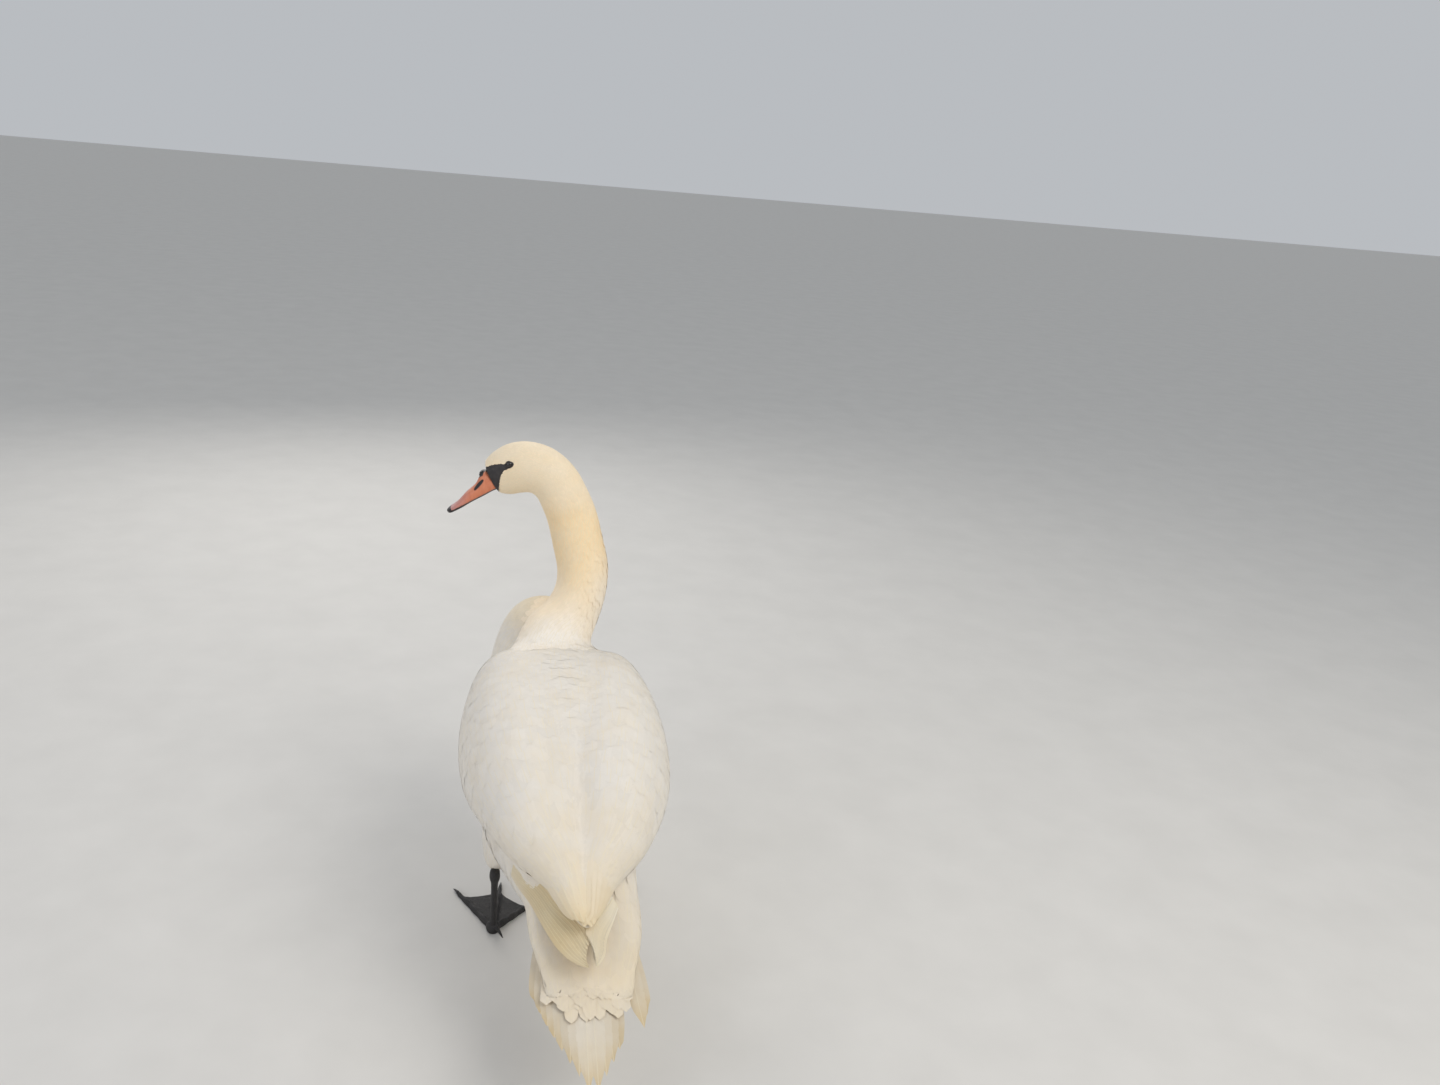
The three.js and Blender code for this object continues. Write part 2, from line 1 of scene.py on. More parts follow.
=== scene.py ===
"""Looks of a life-size mute swan: skin, feathers, bill, eyes, legs and a plain studio.

Lengths in the tables are millimetres in the bird's own modelling frame, in which the body faces -Y
and +X is the bird's left side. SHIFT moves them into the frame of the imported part, in metres.
"""

import logging
import math
from dataclasses import dataclass, field
from enum import Enum
from functools import partial
from typing import Any, Callable, Optional, Sequence

import bmesh
import bpy
import numpy as np
from mathutils import Matrix, Vector
from mathutils.bvhtree import BVHTree
from mathutils.kdtree import KDTree


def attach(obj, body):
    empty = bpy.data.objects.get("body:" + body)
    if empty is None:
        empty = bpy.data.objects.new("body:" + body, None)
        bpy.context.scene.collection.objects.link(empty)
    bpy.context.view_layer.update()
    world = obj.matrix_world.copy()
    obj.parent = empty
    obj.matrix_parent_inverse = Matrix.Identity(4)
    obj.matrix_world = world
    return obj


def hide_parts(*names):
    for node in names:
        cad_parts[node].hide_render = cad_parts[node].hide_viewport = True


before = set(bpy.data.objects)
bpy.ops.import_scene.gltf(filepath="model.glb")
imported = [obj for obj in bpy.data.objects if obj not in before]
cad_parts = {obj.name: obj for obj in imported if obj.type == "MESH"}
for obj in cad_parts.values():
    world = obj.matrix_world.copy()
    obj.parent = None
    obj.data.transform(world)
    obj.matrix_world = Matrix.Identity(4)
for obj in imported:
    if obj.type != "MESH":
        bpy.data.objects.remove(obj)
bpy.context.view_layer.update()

LOG = logging.getLogger("swan")
MM = 0.001
SHIFT = np.array((-13.0, -58.0, 0.0))
SEED = 41
BAKE_MAP = "OFBake"
VANE_MAP = "Vane"
BAKE_PATCH = 0.003  # how wide one small feather is on the baking map
GRAIN = 0.55  # how much the finer grain of a mottling adds
COLOURS = {"out": 2, "data_type": "RGBA"}  # makes a Mix node mix colours

Array = np.ndarray
Socket = bpy.types.NodeSocket
Tree = bpy.types.NodeTree
Adder = Callable[..., Socket]
Random = np.random.Generator
Pair = tuple[float, float]
Triple = tuple[float, float, float]
Knots = tuple[float, ...]
Piece = bpy.types.Object
Faces = Sequence[Array]


class Side(Enum):
    """A side of the bird, with the sign of its X direction."""

    LEFT = 1
    RIGHT = -1

    @property
    def word(self) -> str:
        """The side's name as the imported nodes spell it."""
        return self.name.lower()


class Slot(Enum):
    """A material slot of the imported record."""

    EYE = "eye"
    BILL_HORN = "bill_horn"
    BLACK_HORN = "black_horn"
    CREAM_PLUMAGE = "cream_plumage"
    WHITE_PLUMAGE = "white_plumage"
    CREAM_QUILLS = "cream_quills"
    WHITE_QUILLS = "white_quills"
    LEG_SKIN = "leg_skin"


# ------------ numbers and vectors


def unit(vectors: Array) -> Array:
    """Scales vectors to length one."""
    return vectors / np.maximum(np.linalg.norm(vectors, axis=-1, keepdims=True), 1e-12)


def ease(values: Array) -> Array:
    """Holds values to 0..1 and gives them a level start and end."""
    held = np.clip(values, 0.0, 1.0)
    return held * held * (3.0 - 2.0 * held)


def along(knots: Array, t: Array) -> Array:
    """Smooth curve through evenly spaced knots.

    Args:
        knots: One row per knot.
        t: Places from 0, the first knot, to 1, the last.

    Returns:
        One row for each place.
    """
    last = len(knots) - 1
    place = np.clip(t, 0.0, 1.0) * last
    i = np.minimum(np.floor(place).astype(int), last - 1)
    f = (place - i)[..., None]
    a, b, c, d = (knots[np.clip(i + k, 0, last)] for k in (-1, 0, 1, 2))
    return b + 0.5 * f * (c - a + f * (2 * a - 5 * b + 4 * c - d + f * (3 * (b - c) + d - a)))


def curve(knots: Sequence[float], t: Any) -> Array:
    """The number at each place t on a smooth curve through evenly spaced knots."""
    return along(np.asarray(knots, float)[:, None], np.asarray(t, float))[..., 0]


def beside(places: Array, a: Array, b: Array) -> tuple[Array, Array]:
    """How far places lie from the line between two points, and how far along it, from 0 to 1."""
    share = np.clip(((places - a) @ (b - a)) / ((b - a) @ (b - a)), 0, 1)
    return np.linalg.norm(places - a - share[..., None] * (b - a), axis=-1), share


def distances(line: Array) -> Array:
    """How far along a line of points each one lies."""
    return np.concatenate([[0], np.cumsum(np.linalg.norm(np.diff(line, axis=0), axis=1))])


# ------------ finishes


def linear(code: str) -> tuple[float, float, float, float]:
    """Turns an sRGB hex code into a linear colour.

    Args:
        code: Such as "#e9e3da".

    Returns:
        Linear red, green and blue, and an alpha of 1.
    """
    parts = [int(code.lstrip("#")[i : i + 2], 16) / 255.0 for i in (0, 2, 4)]
    r, g, b = (p / 12.92 if p <= 0.04045 else ((p + 0.055) / 1.055) ** 2.4 for p in parts)
    return (r, g, b, 1.0)


def per_mm(size: float) -> float:
    """The scale of a pattern in object space, in metres, whose features are so many millimetres wide."""
    return 1000.0 / size


def add_node(tree: Tree, kind: str, inputs: dict[Any, Any], out: Any = 0, **settings: Any) -> Socket:
    """Adds a node with its settings and links.

    Args:
        tree: The node tree; a finish gets this function with its tree filled in.
        kind: The node's type without its ShaderNode prefix.
        inputs: By input name or number, a socket to link, a value or a hex colour.
        out: Name or number of the output that is wanted.
        settings: Values by property name.

    Returns:
        The output that is wanted.
    """
    made = tree.nodes.new("ShaderNode" + kind)
    for key, value in settings.items():
        setattr(made, key, value)
    for key, value in inputs.items():
        if isinstance(value, Socket):
            tree.links.new(value, made.inputs[key])
        else:
            made.inputs[key].default_value = linear(value) if isinstance(value, str) else value
    return made.outputs[out]


def mottling(add: Adder, size: float, detail: float = 3.0, ramp: Optional[Knots] = None,
             height: float = 1.0) -> Socket:
    """Lays soft random patches over a piece.

    Args:
        add: The function that adds a node.
        size: Width of the patches in millimetres.
        detail: How much finer grain they hold.
        ramp: Where the patches fade in and are full, then the values for both, if not 0 and 1.
        height: How much of their width they keep in height, as streaks keep more.

    Returns:
        The value of the patches.
    """
    place = add("TexCoord", {}, "Object")
    if height != 1.0:
        place = add("Mapping", {"Vector": place, "Scale": (1.0, 1.0, height)})
    inputs = {"Vector": place, "Scale": per_mm(size), "Detail": detail, "Roughness": GRAIN}
    found = add("TexNoise", inputs, "Fac")
    return add("MapRange", dict(enumerate((found, *ramp)))) if ramp else found


@dataclass(frozen=True)
class Finish:
    """A surface finish that makes one node material."""

    name: str
    roughness: float
    ior: float = 1.5

    def material(self) -> bpy.types.Material:
        """The finish's material, made when it is first asked for."""
        found = bpy.data.materials.get(self.name)
        if found:
            return found
        made = bpy.data.materials.new(self.name)
        made.use_nodes = True
        tree = made.node_tree
        tree.nodes.clear()
        inputs = {"Roughness": self.roughness, "IOR": self.ior, **self.paint(partial(add_node, tree))}
        output = tree.nodes.new("ShaderNodeOutputMaterial")
        tree.links.new(add_node(tree, "BsdfPrincipled", inputs), output.inputs["Surface"])
        return made

    def paint(self, add: Adder) -> dict[str, Any]:
        """Adds this finish's pattern nodes and says what goes into the shader."""
        raise NotImplementedError


@dataclass(frozen=True)
class Plumage(Finish):
    """White feather keratin without pigment, stained cream by tannin; matt, with fine barb lines."""

    white: str = "#eee8de"
    cream: str = "#efd6a4"
    shaft: str = "#efe3c4"
    barb: float = 1.6  # real barbs are 0.4 mm apart; drawn coarser so that they show
    slant: float = 0.75
    barb_depth: float = 0.10
    tone_share: float = 0.055
    sheen: float = 0.18

    def paint(self, add: Adder) -> dict[str, Any]:
        """Lays cream over white, then the tone of each feather, its barbs and its shaft."""
        length = add("SeparateXYZ", {0: add("UVMap", {}, uv_map=VANE_MAP)})
        across = add("Math", {0: length.node.outputs[1]}, operation="ABSOLUTE")
        # Barbs run out from the shaft at a slant and waver a little.
        slanted = add("Math", {0: across, 1: -self.slant, 2: length}, operation="MULTIPLY_ADD")
        wobble = add("Math", {0: mottling(add, 9, 2), 1: 3.0}, operation="MULTIPLY")
        run = add("Math", {0: slanted, 1: wobble}, operation="ADD")
        turn = add("Math", {0: run, 1: 2 * math.pi / self.barb}, operation="MULTIPLY")
        barbs = add("Math", {0: turn}, operation="SINE")
        stain = add("Math", {0: mottling(add, 38), 1: 0.5, 2: -0.25}, operation="MULTIPLY_ADD")
        cream = add("Attribute", {}, "Fac", attribute_name="cream")
        share = add("Math", {0: cream, 1: stain}, operation="ADD", use_clamp=True)
        colour = add("Mix", {0: share, 6: self.white, 7: self.cream}, **COLOURS)
        own = add("Attribute", {}, "Fac", attribute_name="tone")
        tone = add("MapRange", {0: own, 3: 1 - self.tone_share, 4: 1.0})
        tone = add("Math", {0: barbs, 1: 0.012, 2: tone}, operation="MULTIPLY_ADD")
        tone = add("Math", {0: tone, 1: -0.025}, operation="ADD")
        tone = add("Math", {0: mottling(add, 14, 4), 1: 0.05, 2: tone}, operation="MULTIPLY_ADD")
        grey = add("CombineColor", {0: tone, 1: tone, 2: tone})
        colour = add("Mix", {0: 1.0, 6: colour, 7: grey}, **COLOURS, blend_type="MULTIPLY")
        rib = add("MapRange", {0: across, 1: 0.25, 2: 0.8, 3: 0.5, 4: 0.0})
        colour = add("Mix", {0: rib, 6: colour, 7: self.shaft}, **COLOURS)
        relief = add("Bump", {"Distance": self.barb_depth * MM, "Height": barbs})
        gloss = {"Sheen Weight": self.sheen, "Sheen Roughness": 0.5, "Specular IOR Level": 0.25}
        return {"Base Color": colour, "Normal": relief, **gloss}


@dataclass(frozen=True)
class SkinFinish(Finish):
    """Pale down-covered skin, bare and black on the face: soft matt leather with fine creases."""

    down: str = "#e9e2d6"
    cream: str = "#ecd5a6"
    black: str = "#2b2829"
    faded: str = "#3c3838"
    crease: float = 0.9

    def paint(self, add: Adder) -> dict[str, Any]:
        """Mixes down and bare skin by the mesh's own mask."""
        cream = add("Attribute", {}, "Fac", attribute_name="cream")
        down = add("Mix", {0: cream, 6: self.down, 7: self.cream}, **COLOURS)
        patches = mottling(add, 6, ramp=(0.35, 0.7))
        black = add("Mix", {0: patches, 6: self.black, 7: self.faded}, **COLOURS)
        bare = add("Attribute", {}, "Fac", attribute_name="bare")
        colour = add("Mix", {0: bare, 6: down, 7: black}, **COLOURS)
        place = add("TexCoord", {}, "Object")
        cells = add("TexVoronoi", {"Vector": place, "Scale": per_mm(self.crease)}, "Distance")
        relief = add("Bump", {"Distance": 0.12 * MM, "Height": cells})
        return {"Base Color": colour, "Normal": relief}


@dataclass(frozen=True)
class BillFinish(Finish):
    """Rhamphotheca: thin orange horn over live tissue, satin, scuffed along the tip; the pink towards the tip
    is a painted highlight.
    """

    orange: str = "#dd8a66"
    deep: str = "#cf7855"
    pink: str = "#c08a86"
    scuffed: str = "#d99a86"
    black: str = "#1f1c1d"

    def paint(self, add: Adder) -> dict[str, Any]:
        """Blends orange to a pink painted highlight towards the tip, with streaks, scuffs and the black
        parts.
        """
        streaks = mottling(add, 5, 5, (0.35, 0.7), 0.35)
        colour = add("Mix", {0: streaks, 6: self.deep, 7: self.orange}, **COLOURS)
        patches = add("Math", {0: mottling(add, 7), 1: 0.4, 2: -0.2}, operation="MULTIPLY_ADD")
        reach = add("Attribute", {}, "Fac", attribute_name="reach")
        tip = add("Math", {0: reach, 1: patches}, operation="ADD")
        tip = add("MapRange", {0: tip, 1: 0.42, 2: 0.95})
        # The pink towards the tip is a painted highlight.
        colour = add("Mix", {0: tip, 6: colour, 7: self.pink}, **COLOURS)
        scuffs = mottling(add, 1.3, 2, (0.62, 0.72, 0.0, 0.5))
        colour = add("Mix", {0: scuffs, 6: colour, 7: self.scuffed}, **COLOURS)
        black = add("Attribute", {}, "Fac", attribute_name="black")
        colour = add("Mix", {0: black, 6: colour, 7: self.black}, **COLOURS)
        relief = add("Bump", {"Distance": 0.16 * MM, "Height": mottling(add, 1.6, 4, height=0.5)})
        return {"Base Color": colour, "Normal": relief}


@dataclass(frozen=True)
class HornFinish(Finish):
    """Black keratin of nail, knob, lower bill and claws: satin, finely pitted."""

    black: str = "#1d1b1c"
    worn: str = "#4a4443"

    def paint(self, add: Adder) -> dict[str, Any]:
        """Breaks the black up with worn grey patches."""
        worn = mottling(add, 4, 4, (0.45, 0.8, 0.0, 0.7))
        colour = add("Mix", {0: worn, 6: self.black, 7: self.worn}, **COLOURS)
        relief = add("Bump", {"Distance": 0.12 * MM, "Height": mottling(add, 0.9)})
        return {"Base Color": colour, "Normal": relief}


@dataclass(frozen=True)
class EyeFinish(Finish):
    """A wet cornea over a dark brown iris with a black pupil."""

    pupil: float = 25.0  # degrees off the eye's axis
    iris: float = 46.0
    brown: str = "#2a1710"
    deep: str = "#1c0f0a"
    black: str = "#060505"

    def paint(self, add: Adder) -> dict[str, Any]:
        """Paints rings round the eye's axis and adds the cornea's gloss."""
        fibres = mottling(add, 0.7, 4, (0.3, 0.7))
        iris = add("Mix", {0: fibres, 6: self.deep, 7: self.brown}, **COLOURS)
        off = add("Attribute", {}, "Fac", attribute_name="off")
        inner = add("MapRange", {0: off, 1: self.pupil - 1.5, 2: self.pupil + 1.5})
        outer = add("MapRange", {0: off, 1: self.iris - 3, 2: self.iris + 3})
        colour = add("Mix", {0: inner, 6: self.black, 7: iris}, **COLOURS)
        colour = add("Mix", {0: outer, 6: colour, 7: self.black}, **COLOURS)
        return {"Base Color": colour, "Coat Weight": 1.0, "Coat Roughness": 0.02}


@dataclass(frozen=True)
class LegFinish(Finish):
    """Scaled black leg skin: dull leather in small plates, greyer where dust holds in the joints."""

    dark: str = "#232222"
    worn: str = "#312f2f"
    pale: str = "#474341"
    plate: float = 3.2

    def paint(self, add: Adder) -> dict[str, Any]:
        """Draws plates with pale joints."""
        place = add("TexCoord", {}, "Object")
        scales = {"Vector": place, "Scale": per_mm(self.plate)}
        edge = add("TexVoronoi", scales, "Distance", feature="DISTANCE_TO_EDGE")
        joints = add("MapRange", {0: edge, 2: 0.16, 3: 1.0, 4: 0.0})
        dust = mottling(add, 16, ramp=(0.3, 0.75, 0.1, 0.75))
        share = add("Math", {0: joints, 1: dust}, operation="MULTIPLY")
        ground = add("Mix", {0: dust, 6: self.dark, 7: self.worn}, **COLOURS)
        colour = add("Mix", {0: share, 6: ground, 7: self.pale}, **COLOURS)
        height = add("MapRange", {0: edge, 2: 0.3})
        relief = add("Bump", {"Distance": 0.35 * MM, "Height": height})
        return {"Base Color": colour, "Normal": relief}


@dataclass(frozen=True)
class FloorFinish(Finish):
    """Matt painted board: even, with the faintest roller mottling."""

    pale: str = "#d6d4d0"
    dark: str = "#a8a6a2"

    def paint(self, add: Adder) -> dict[str, Any]:
        """Varies the paint very slightly."""
        share = mottling(add, 120, ramp=(0.3, 0.7, 0.0, 0.12))
        return {"Base Color": add("Mix", {0: share, 6: self.pale, 7: self.dark}, **COLOURS)}


# Body feathers scatter light softly between their barbs, so they look matt and almost powdery.
PLUMAGE = Plumage("white_feather_keratin", roughness=0.78)
# The head's short feathers show no single barbs, only the cream that water leaves in them; their white and
# cream are also painted lighter than the body's, a painted light for the brighter light on the head and neck.
HEAD_PLUMAGE = Plumage("cream_stained_feather_keratin", roughness=0.82, white="#faf3e8", cream="#fbe0b4",
                       barb=1.1, barb_depth=0.03, tone_share=0.05)
# Quills are closed, flat vanes, so they look smoother than the coat and show barbs and shafts.
TAIL_QUILLS = Plumage("tail_quill_keratin", roughness=0.62, white="#ece5d8", cream="#d6bd8c", shaft="#efe4cc",
                      barb=1.8, slant=0.9, barb_depth=0.14, tone_share=0.09, sheen=0.1)
# The wing's quills are the most stained ones and give the two buff blades over the tail; their white and
# cream are also painted lighter, a painted light that offsets the shade under the wing.
WING_QUILLS = Plumage("wing_quill_keratin", roughness=0.6, white="#f4ecd9", cream="#e6cd9a", shaft="#f0e2bd",
                      barb=1.8, slant=0.9, barb_depth=0.14, tone_share=0.12, sheen=0.1)
# Bare skin gives the black mask between eye and bill; under the coat it only closes small gaps.
SKIN = SkinFinish("skin_with_down_and_bare_face", roughness=0.6)
# Living horn gives the bill its warm orange with a soft satin light along its ridge.
BILL_HORN = BillFinish("rhamphotheca_orange_horn", roughness=0.42, ior=1.54)
# Dead horn is black and worn grey, with small dull highlights.
BLACK_HORN = HornFinish("black_keratin_horn", roughness=0.45, ior=1.54)
# The tear film gives the dark eye its one bright spot.
CORNEA = EyeFinish("wet_cornea", roughness=0.12, ior=1.38)
# Dry scales keep the legs dull, so that the feet read as dark shapes with a faint net of lines.
LEG_SKIN = LegFinish("scaled_black_leg_skin", roughness=0.62, ior=1.45)
# An even paint gives the bird a quiet ground and soft shadows.
FLOOR_PAINT = FloorFinish("painted_studio_floor", roughness=0.7)


# ------------ the frame of the head


@dataclass(frozen=True)
class HeadFrame:
    """The upright plane in which the head, the bill and the eyes are laid out."""

    origin: Triple = (91.0, -296.0, 657.0)
    turn: float = 82.0  # degrees to the bird's left

    @property
    def forward(self) -> Array:
        """The way the face points, level."""
        a = math.radians(self.turn)
        return np.array((math.sin(a), -math.cos(a), 0.0))

    @property
    def left(self) -> Array:
        """The direction to the head's own left."""
        a = math.radians(self.turn)
        return np.array((math.cos(a), math.sin(a), 0.0))

    def direction(self, forward: float, up: float, left: float = 0.0) -> Array:
        """The vector with these parts."""
        return self.forward * forward + self.left * left + np.array((0.0, 0.0, up))

    def point(self, forward: float, up: float, left: float = 0.0) -> Array:
        """The place that lies so far forward of, above and to the left of the head's middle."""
        return np.array(self.origin) + self.direction(forward, up, left)

    def parts(self, points: Array) -> Array:
        """How far points lie forward of, above and to the left of the head's middle, one row for each."""
        away = points - np.array(self.origin)
        return np.stack([away @ self.forward, away[..., 2], away @ self.left], -1)


HEAD = HeadFrame()


@dataclass(frozen=True)
class Cut:
    """A plane of the head's own frame that parts the bill."""

    forward: float
    up: float
    aim_forward: float
    aim_up: float

    @property
    def point(self) -> Array:
        """A point of the plane."""
        return HEAD.point(self.forward, self.up)

    @property
    def aim(self) -> Array:
        """The plane's normal."""
        return unit(HEAD.direction(self.aim_forward, self.aim_up))

    def beyond(self, points: Array) -> Array:
        """How far points on the head lie past the plane, along its normal; other places lie behind it."""
        near = np.abs(HEAD.parts(points)).max(-1) < 130
        return np.where(near, (points - self.point) @ self.aim, -999.0)


FACE = Cut(27.5, -22.0, 0.88, -0.47)
MOUTH = Cut(17.0, -41.5, -0.53, -0.85)
NAIL = Cut(88.0, -81.0, 0.75, -0.66)

# ------------ swept bodies


@dataclass(frozen=True)
class Station:
    """The middle and the half sizes of one section of a swept body."""

    x: float
    y: float
    z: float
    wide: float
    up: float
    down: float
    side: Triple = (1.0, 0.0, 0.0)


def head_station(forward: float, up: float, wide: float, above: float, below: float) -> Station:
    """A station in the plane of the head."""
    x, y, z = HEAD.point(forward, up)
    return Station(x, y, z, wide, above, below, tuple(HEAD.left))


def turned(degrees: float) -> Triple:
    """The direction to the bird's left where the neck has turned by some degrees."""
    return (math.cos(math.radians(degrees)), math.sin(math.radians(degrees)), 0.0)


@dataclass
class Loft:
    """A rounded body swept through stations from the bird's front to its back."""

    stations: Sequence[Station]
    blunt: Pair
    square: float = 2.0
    table: Array = field(init=False)

    def __post_init__(self) -> None:
        """Puts the stations into one table of numbers."""
        rows = [(s.x, s.y, s.z, s.wide, s.up, s.down, *s.side) for s in self.stations]
        self.table = np.array(rows, float)

    def centre(self, t: Array) -> Array:
        """The middle of the section at each place along the body."""
        return along(self.table[:, 0:3], t)

    def axes(self, t: Array) -> tuple[Array, Array, Array]:
        """The tangent, side and dorsal direction at each place along the body."""
        tangent = unit(self.centre(np.minimum(t + 0.01, 1)) - self.centre(np.maximum(t - 0.01, 0)))
        side = along(self.table[:, 6:9], t)
        side = unit(side - tangent * (side * tangent).sum(-1, keepdims=True))
        return tangent, side, np.cross(side, tangent)

    def points(self, t: Array, angle: Array) -> Array:
        """Places on the surface.

        Args:
            t: Places along the body, 0 to 1.
            angle: Angle round it, from its left side over its back.

        Returns:
            One point for each place.
        """
        _, side, dorsal = self.axes(t)
        front = np.clip(t / self.blunt[0], 0, 1)
        back = np.clip((1 - t) / self.blunt[1], 0, 1)
        round_off = np.sqrt((1 - (1 - front) ** 2) * (1 - (1 - back) ** 2))
        power = 2.0 / self.square
        across = np.sign(np.cos(angle)) * np.abs(np.cos(angle)) ** power
        above = np.sign(np.sin(angle)) * np.abs(np.sin(angle)) ** power
        sizes = along(self.table[:, 3:6], t)
        height = np.where(above > 0, sizes[..., 1], sizes[..., 2])
        out = (across * round_off * sizes[..., 0])[..., None] * side
        return self.centre(t) + out + (above * round_off * height)[..., None] * dorsal

    @staticmethod
    def net(rings: int, around: int) -> tuple[Array, Array]:
        """Place along the body and angle round it of each corner of its shell."""
        t = 0.5 - 0.5 * np.cos(np.pi * np.arange(1, rings + 1) / (rings + 1))
        return np.repeat(t, around), np.tile(np.arange(around) * 2 * np.pi / around, rings)

    def shell(self, rings: int, around: int) -> tuple[Array, list[Array]]:
        """The whole surface as a closed mesh, with its rings closest together at the ends.

        Args:
            rings: How many sections.
            around: How many corners each has.

        Returns:
            Vertices, and the faces as a table of quads and one of triangles.
        """
        grid = self.points(*self.net(rings, around))
        vertices = np.concatenate([grid, self.centre(np.array([0.0, 1.0]))])
        i, j = (a.ravel() for a in np.meshgrid(np.arange(rings - 1), np.arange(around), indexing="ij"))
        k = (j + 1) % around
        quads = np.stack([i * around + j, i * around + k, (i + 1) * around + k, (i + 1) * around + j], 1)
        j = np.arange(around)
        k, last = (j + 1) % around, (rings - 1) * around
        caps = [np.stack([np.full(around, rings * around), k, j], 1)]
        caps.append(np.stack([np.full(around, rings * around + 1), last + j, last + k], 1))
        return vertices, [quads, np.concatenate(caps)]


# ------------ the bird's bodies

NECK = Loft(
    [
        head_station(38, -33, 15, 15, 30),
        head_station(14.5, -15.5, 22.5, 32.5, 41),
        head_station(-14.5, -6, 27.5, 43, 42),
        head_station(-47, -8, 30.5, 44, 38),
        head_station(-73.5, -25.5, 31.5, 43, 36),
        head_station(-91, -55, 33.5, 44, 36),
        Station(-13, -284, 572, 36, 45, 38, turned(70)),
        Station(-25, -272, 535, 38, 45, 40, turned(55)),
        Station(-35, -253, 498, 40, 44, 41, turned(40)),
        Station(-32, -235, 461, 41, 42, 43, turned(25)),
        Station(-16, -217, 426, 46, 42, 49, turned(10)),
        Station(6, -196, 394, 58, 50, 52),
        Station(14, -168, 352, 62, 50, 52),
    ],
    blunt=(0.06, 0.05),
)
TRUNK = Loft(
    [
        Station(12, -310, 300, 60, 48, 58),
        Station(9, -243, 301, 98, 92, 96),
        Station(6, -176, 293, 118, 122, 118),
        Station(4, -114, 282, 123, 136, 129),
        Station(3, -53, 269, 124, 142, 133),
        Station(0, 8, 256, 120, 136, 129),
        Station(-5, 72, 242, 112, 120, 117),
        Station(-11, 135, 230, 93, 92, 98),
        Station(-21, 199, 214, 77, 46, 66),
        Station(-26, 262, 191, 74, 17, 30),
        Station(-27, 310, 168, 62, 14, 10),
        Station(-27, 352, 155, 52, 10, 5),
    ],
    blunt=(0.2, 0.03),
    square=2.15,
)
# The lower loop of the neck, which bulges forward and to the left above the breast.
CROP = Loft(
    [
        Station(4, -232, 416, 38, 37, 42),
        Station(18, -268, 400, 50, 41, 45),
        Station(27, -290, 371, 62, 51, 55),
        Station(27, -292, 334, 77, 55, 59),
        Station(20, -280, 298, 94, 55, 55),
        Station(13, -256, 264, 105, 50, 48),
        Station(9, -226, 236, 105, 44, 38),
        Station(7, -190, 214, 92, 34, 24),
    ],
    blunt=(0.22, 0.2),
)
BILL = Loft(
    [
        head_station(24, -23, 15.5, 22, 18),
        head_station(33, -32, 16, 19.5, 15),
        head_station(44, -45.5, 15.5, 13.6, 10.6),
        head_station(60, -60.5, 15, 9.2, 9.2),
        head_station(75, -74.5, 14.5, 6.4, 6.2),
        head_station(88, -84, 13, 5, 4.8),
        head_station(95, -88.5, 9, 4, 4),
    ],
    blunt=(0.1, 0.14),
    square=2.3,
)


@dataclass(frozen=True)
class WingRow:
    """One section of a folded wing; out counts from the middle line and lean is its inward tilt."""

    out: float
    y: float
    z: float
    thick: float
    up: float
    down: float
    lean: float


WING_ROWS = (
    WingRow(76, -226, 314, 31, 36, 34, 6),
    WingRow(76, -161, 316, 59, 80, 74, 10),
    WingRow(73, -92, 314, 75, 98, 90, 14),
    WingRow(72, -20, 308, 81, 101, 94, 16),
    WingRow(69, 51, 298, 79, 95, 86, 18),
    WingRow(61, 123, 284, 70, 80, 58, 22),
    WingRow(47, 192, 268, 52, 56, 34, 26),
    WingRow(23, 251, 254, 27, 34, 18, 24),
    WingRow(3, 318, 237, 10, 8, 8, 14),
)
BLADE_LEFT = (
    WingRow(92, 150, 224, 3.5, 14, 11, 14),
    WingRow(82, 190, 226, 4, 18, 11, 30),
    WingRow(62, 229, 226, 4.5, 22, 13, 43),
    WingRow(48, 270, 224, 4.5, 22, 14, 50),
    WingRow(28, 302, 221, 4, 21, 21, 62),
    WingRow(17, 330, 216, 3, 14, 17, 68),
    WingRow(8, 356, 212, 1.5, 3, 5, 68),
)
# The right blade lies deeper under the coverts, narrower and closer to the middle.
BLADE_RIGHT = (
    WingRow(92, 150, 224, 3.5, 14, 11, 14),
    WingRow(80, 190, 226, 4, 15, 10, 30),
    WingRow(55, 229, 226, 4.5, 15, 10, 43),
    WingRow(34, 270, 225, 4.5, 14, 10, 50),
    WingRow(17, 302, 222, 4, 13, 11, 62),
    WingRow(11, 330, 217, 3, 9, 10, 68),
    WingRow(6, 356, 212, 1.5, 3, 4, 68),
)
WING_MIDDLE = (3.0, -14.0)  # the middle line between the wings, at the shoulders and at the tail
BLADE_MIDDLE = (12.0, -26.0)
MIDDLE_SPAN = (-220.0, 330.0)
LEFT_OVERLAP = 7.0  # how much the tip of the left wing is widened, moving in twice as far over the right


def wing_loft(rows: Sequence[WingRow], middle: Pair, side: Side, overlap: float,
              blunt: Pair, square: float) -> Loft:
    """A folded wing or its blade on one side of the bird.

    Args:
        rows: Its sections.
        middle: X of the middle line at the shoulders and at the tail.
        side: The side of the bird.
        overlap: How far its tip is widened inwards.
        blunt: The part of the length over which each end rounds off.
        square: How square its sections are; 2 is round.

    Returns:
        The swept body.
    """
    stations = []
    for row in rows:
        t = (row.y - MIDDLE_SPAN[0]) / (MIDDLE_SPAN[1] - MIDDLE_SPAN[0])
        tilt = math.radians(row.lean) * side.value
        x = middle[0] + (middle[1] - middle[0]) * t + side.value * (row.out - 2 * overlap * t)
        aim = (math.cos(tilt), 0.0, math.sin(tilt))
        stations.append(Station(x, row.y, row.z, row.thick + overlap * t, row.up, row.down, aim))
    return Loft(stations, blunt, square)


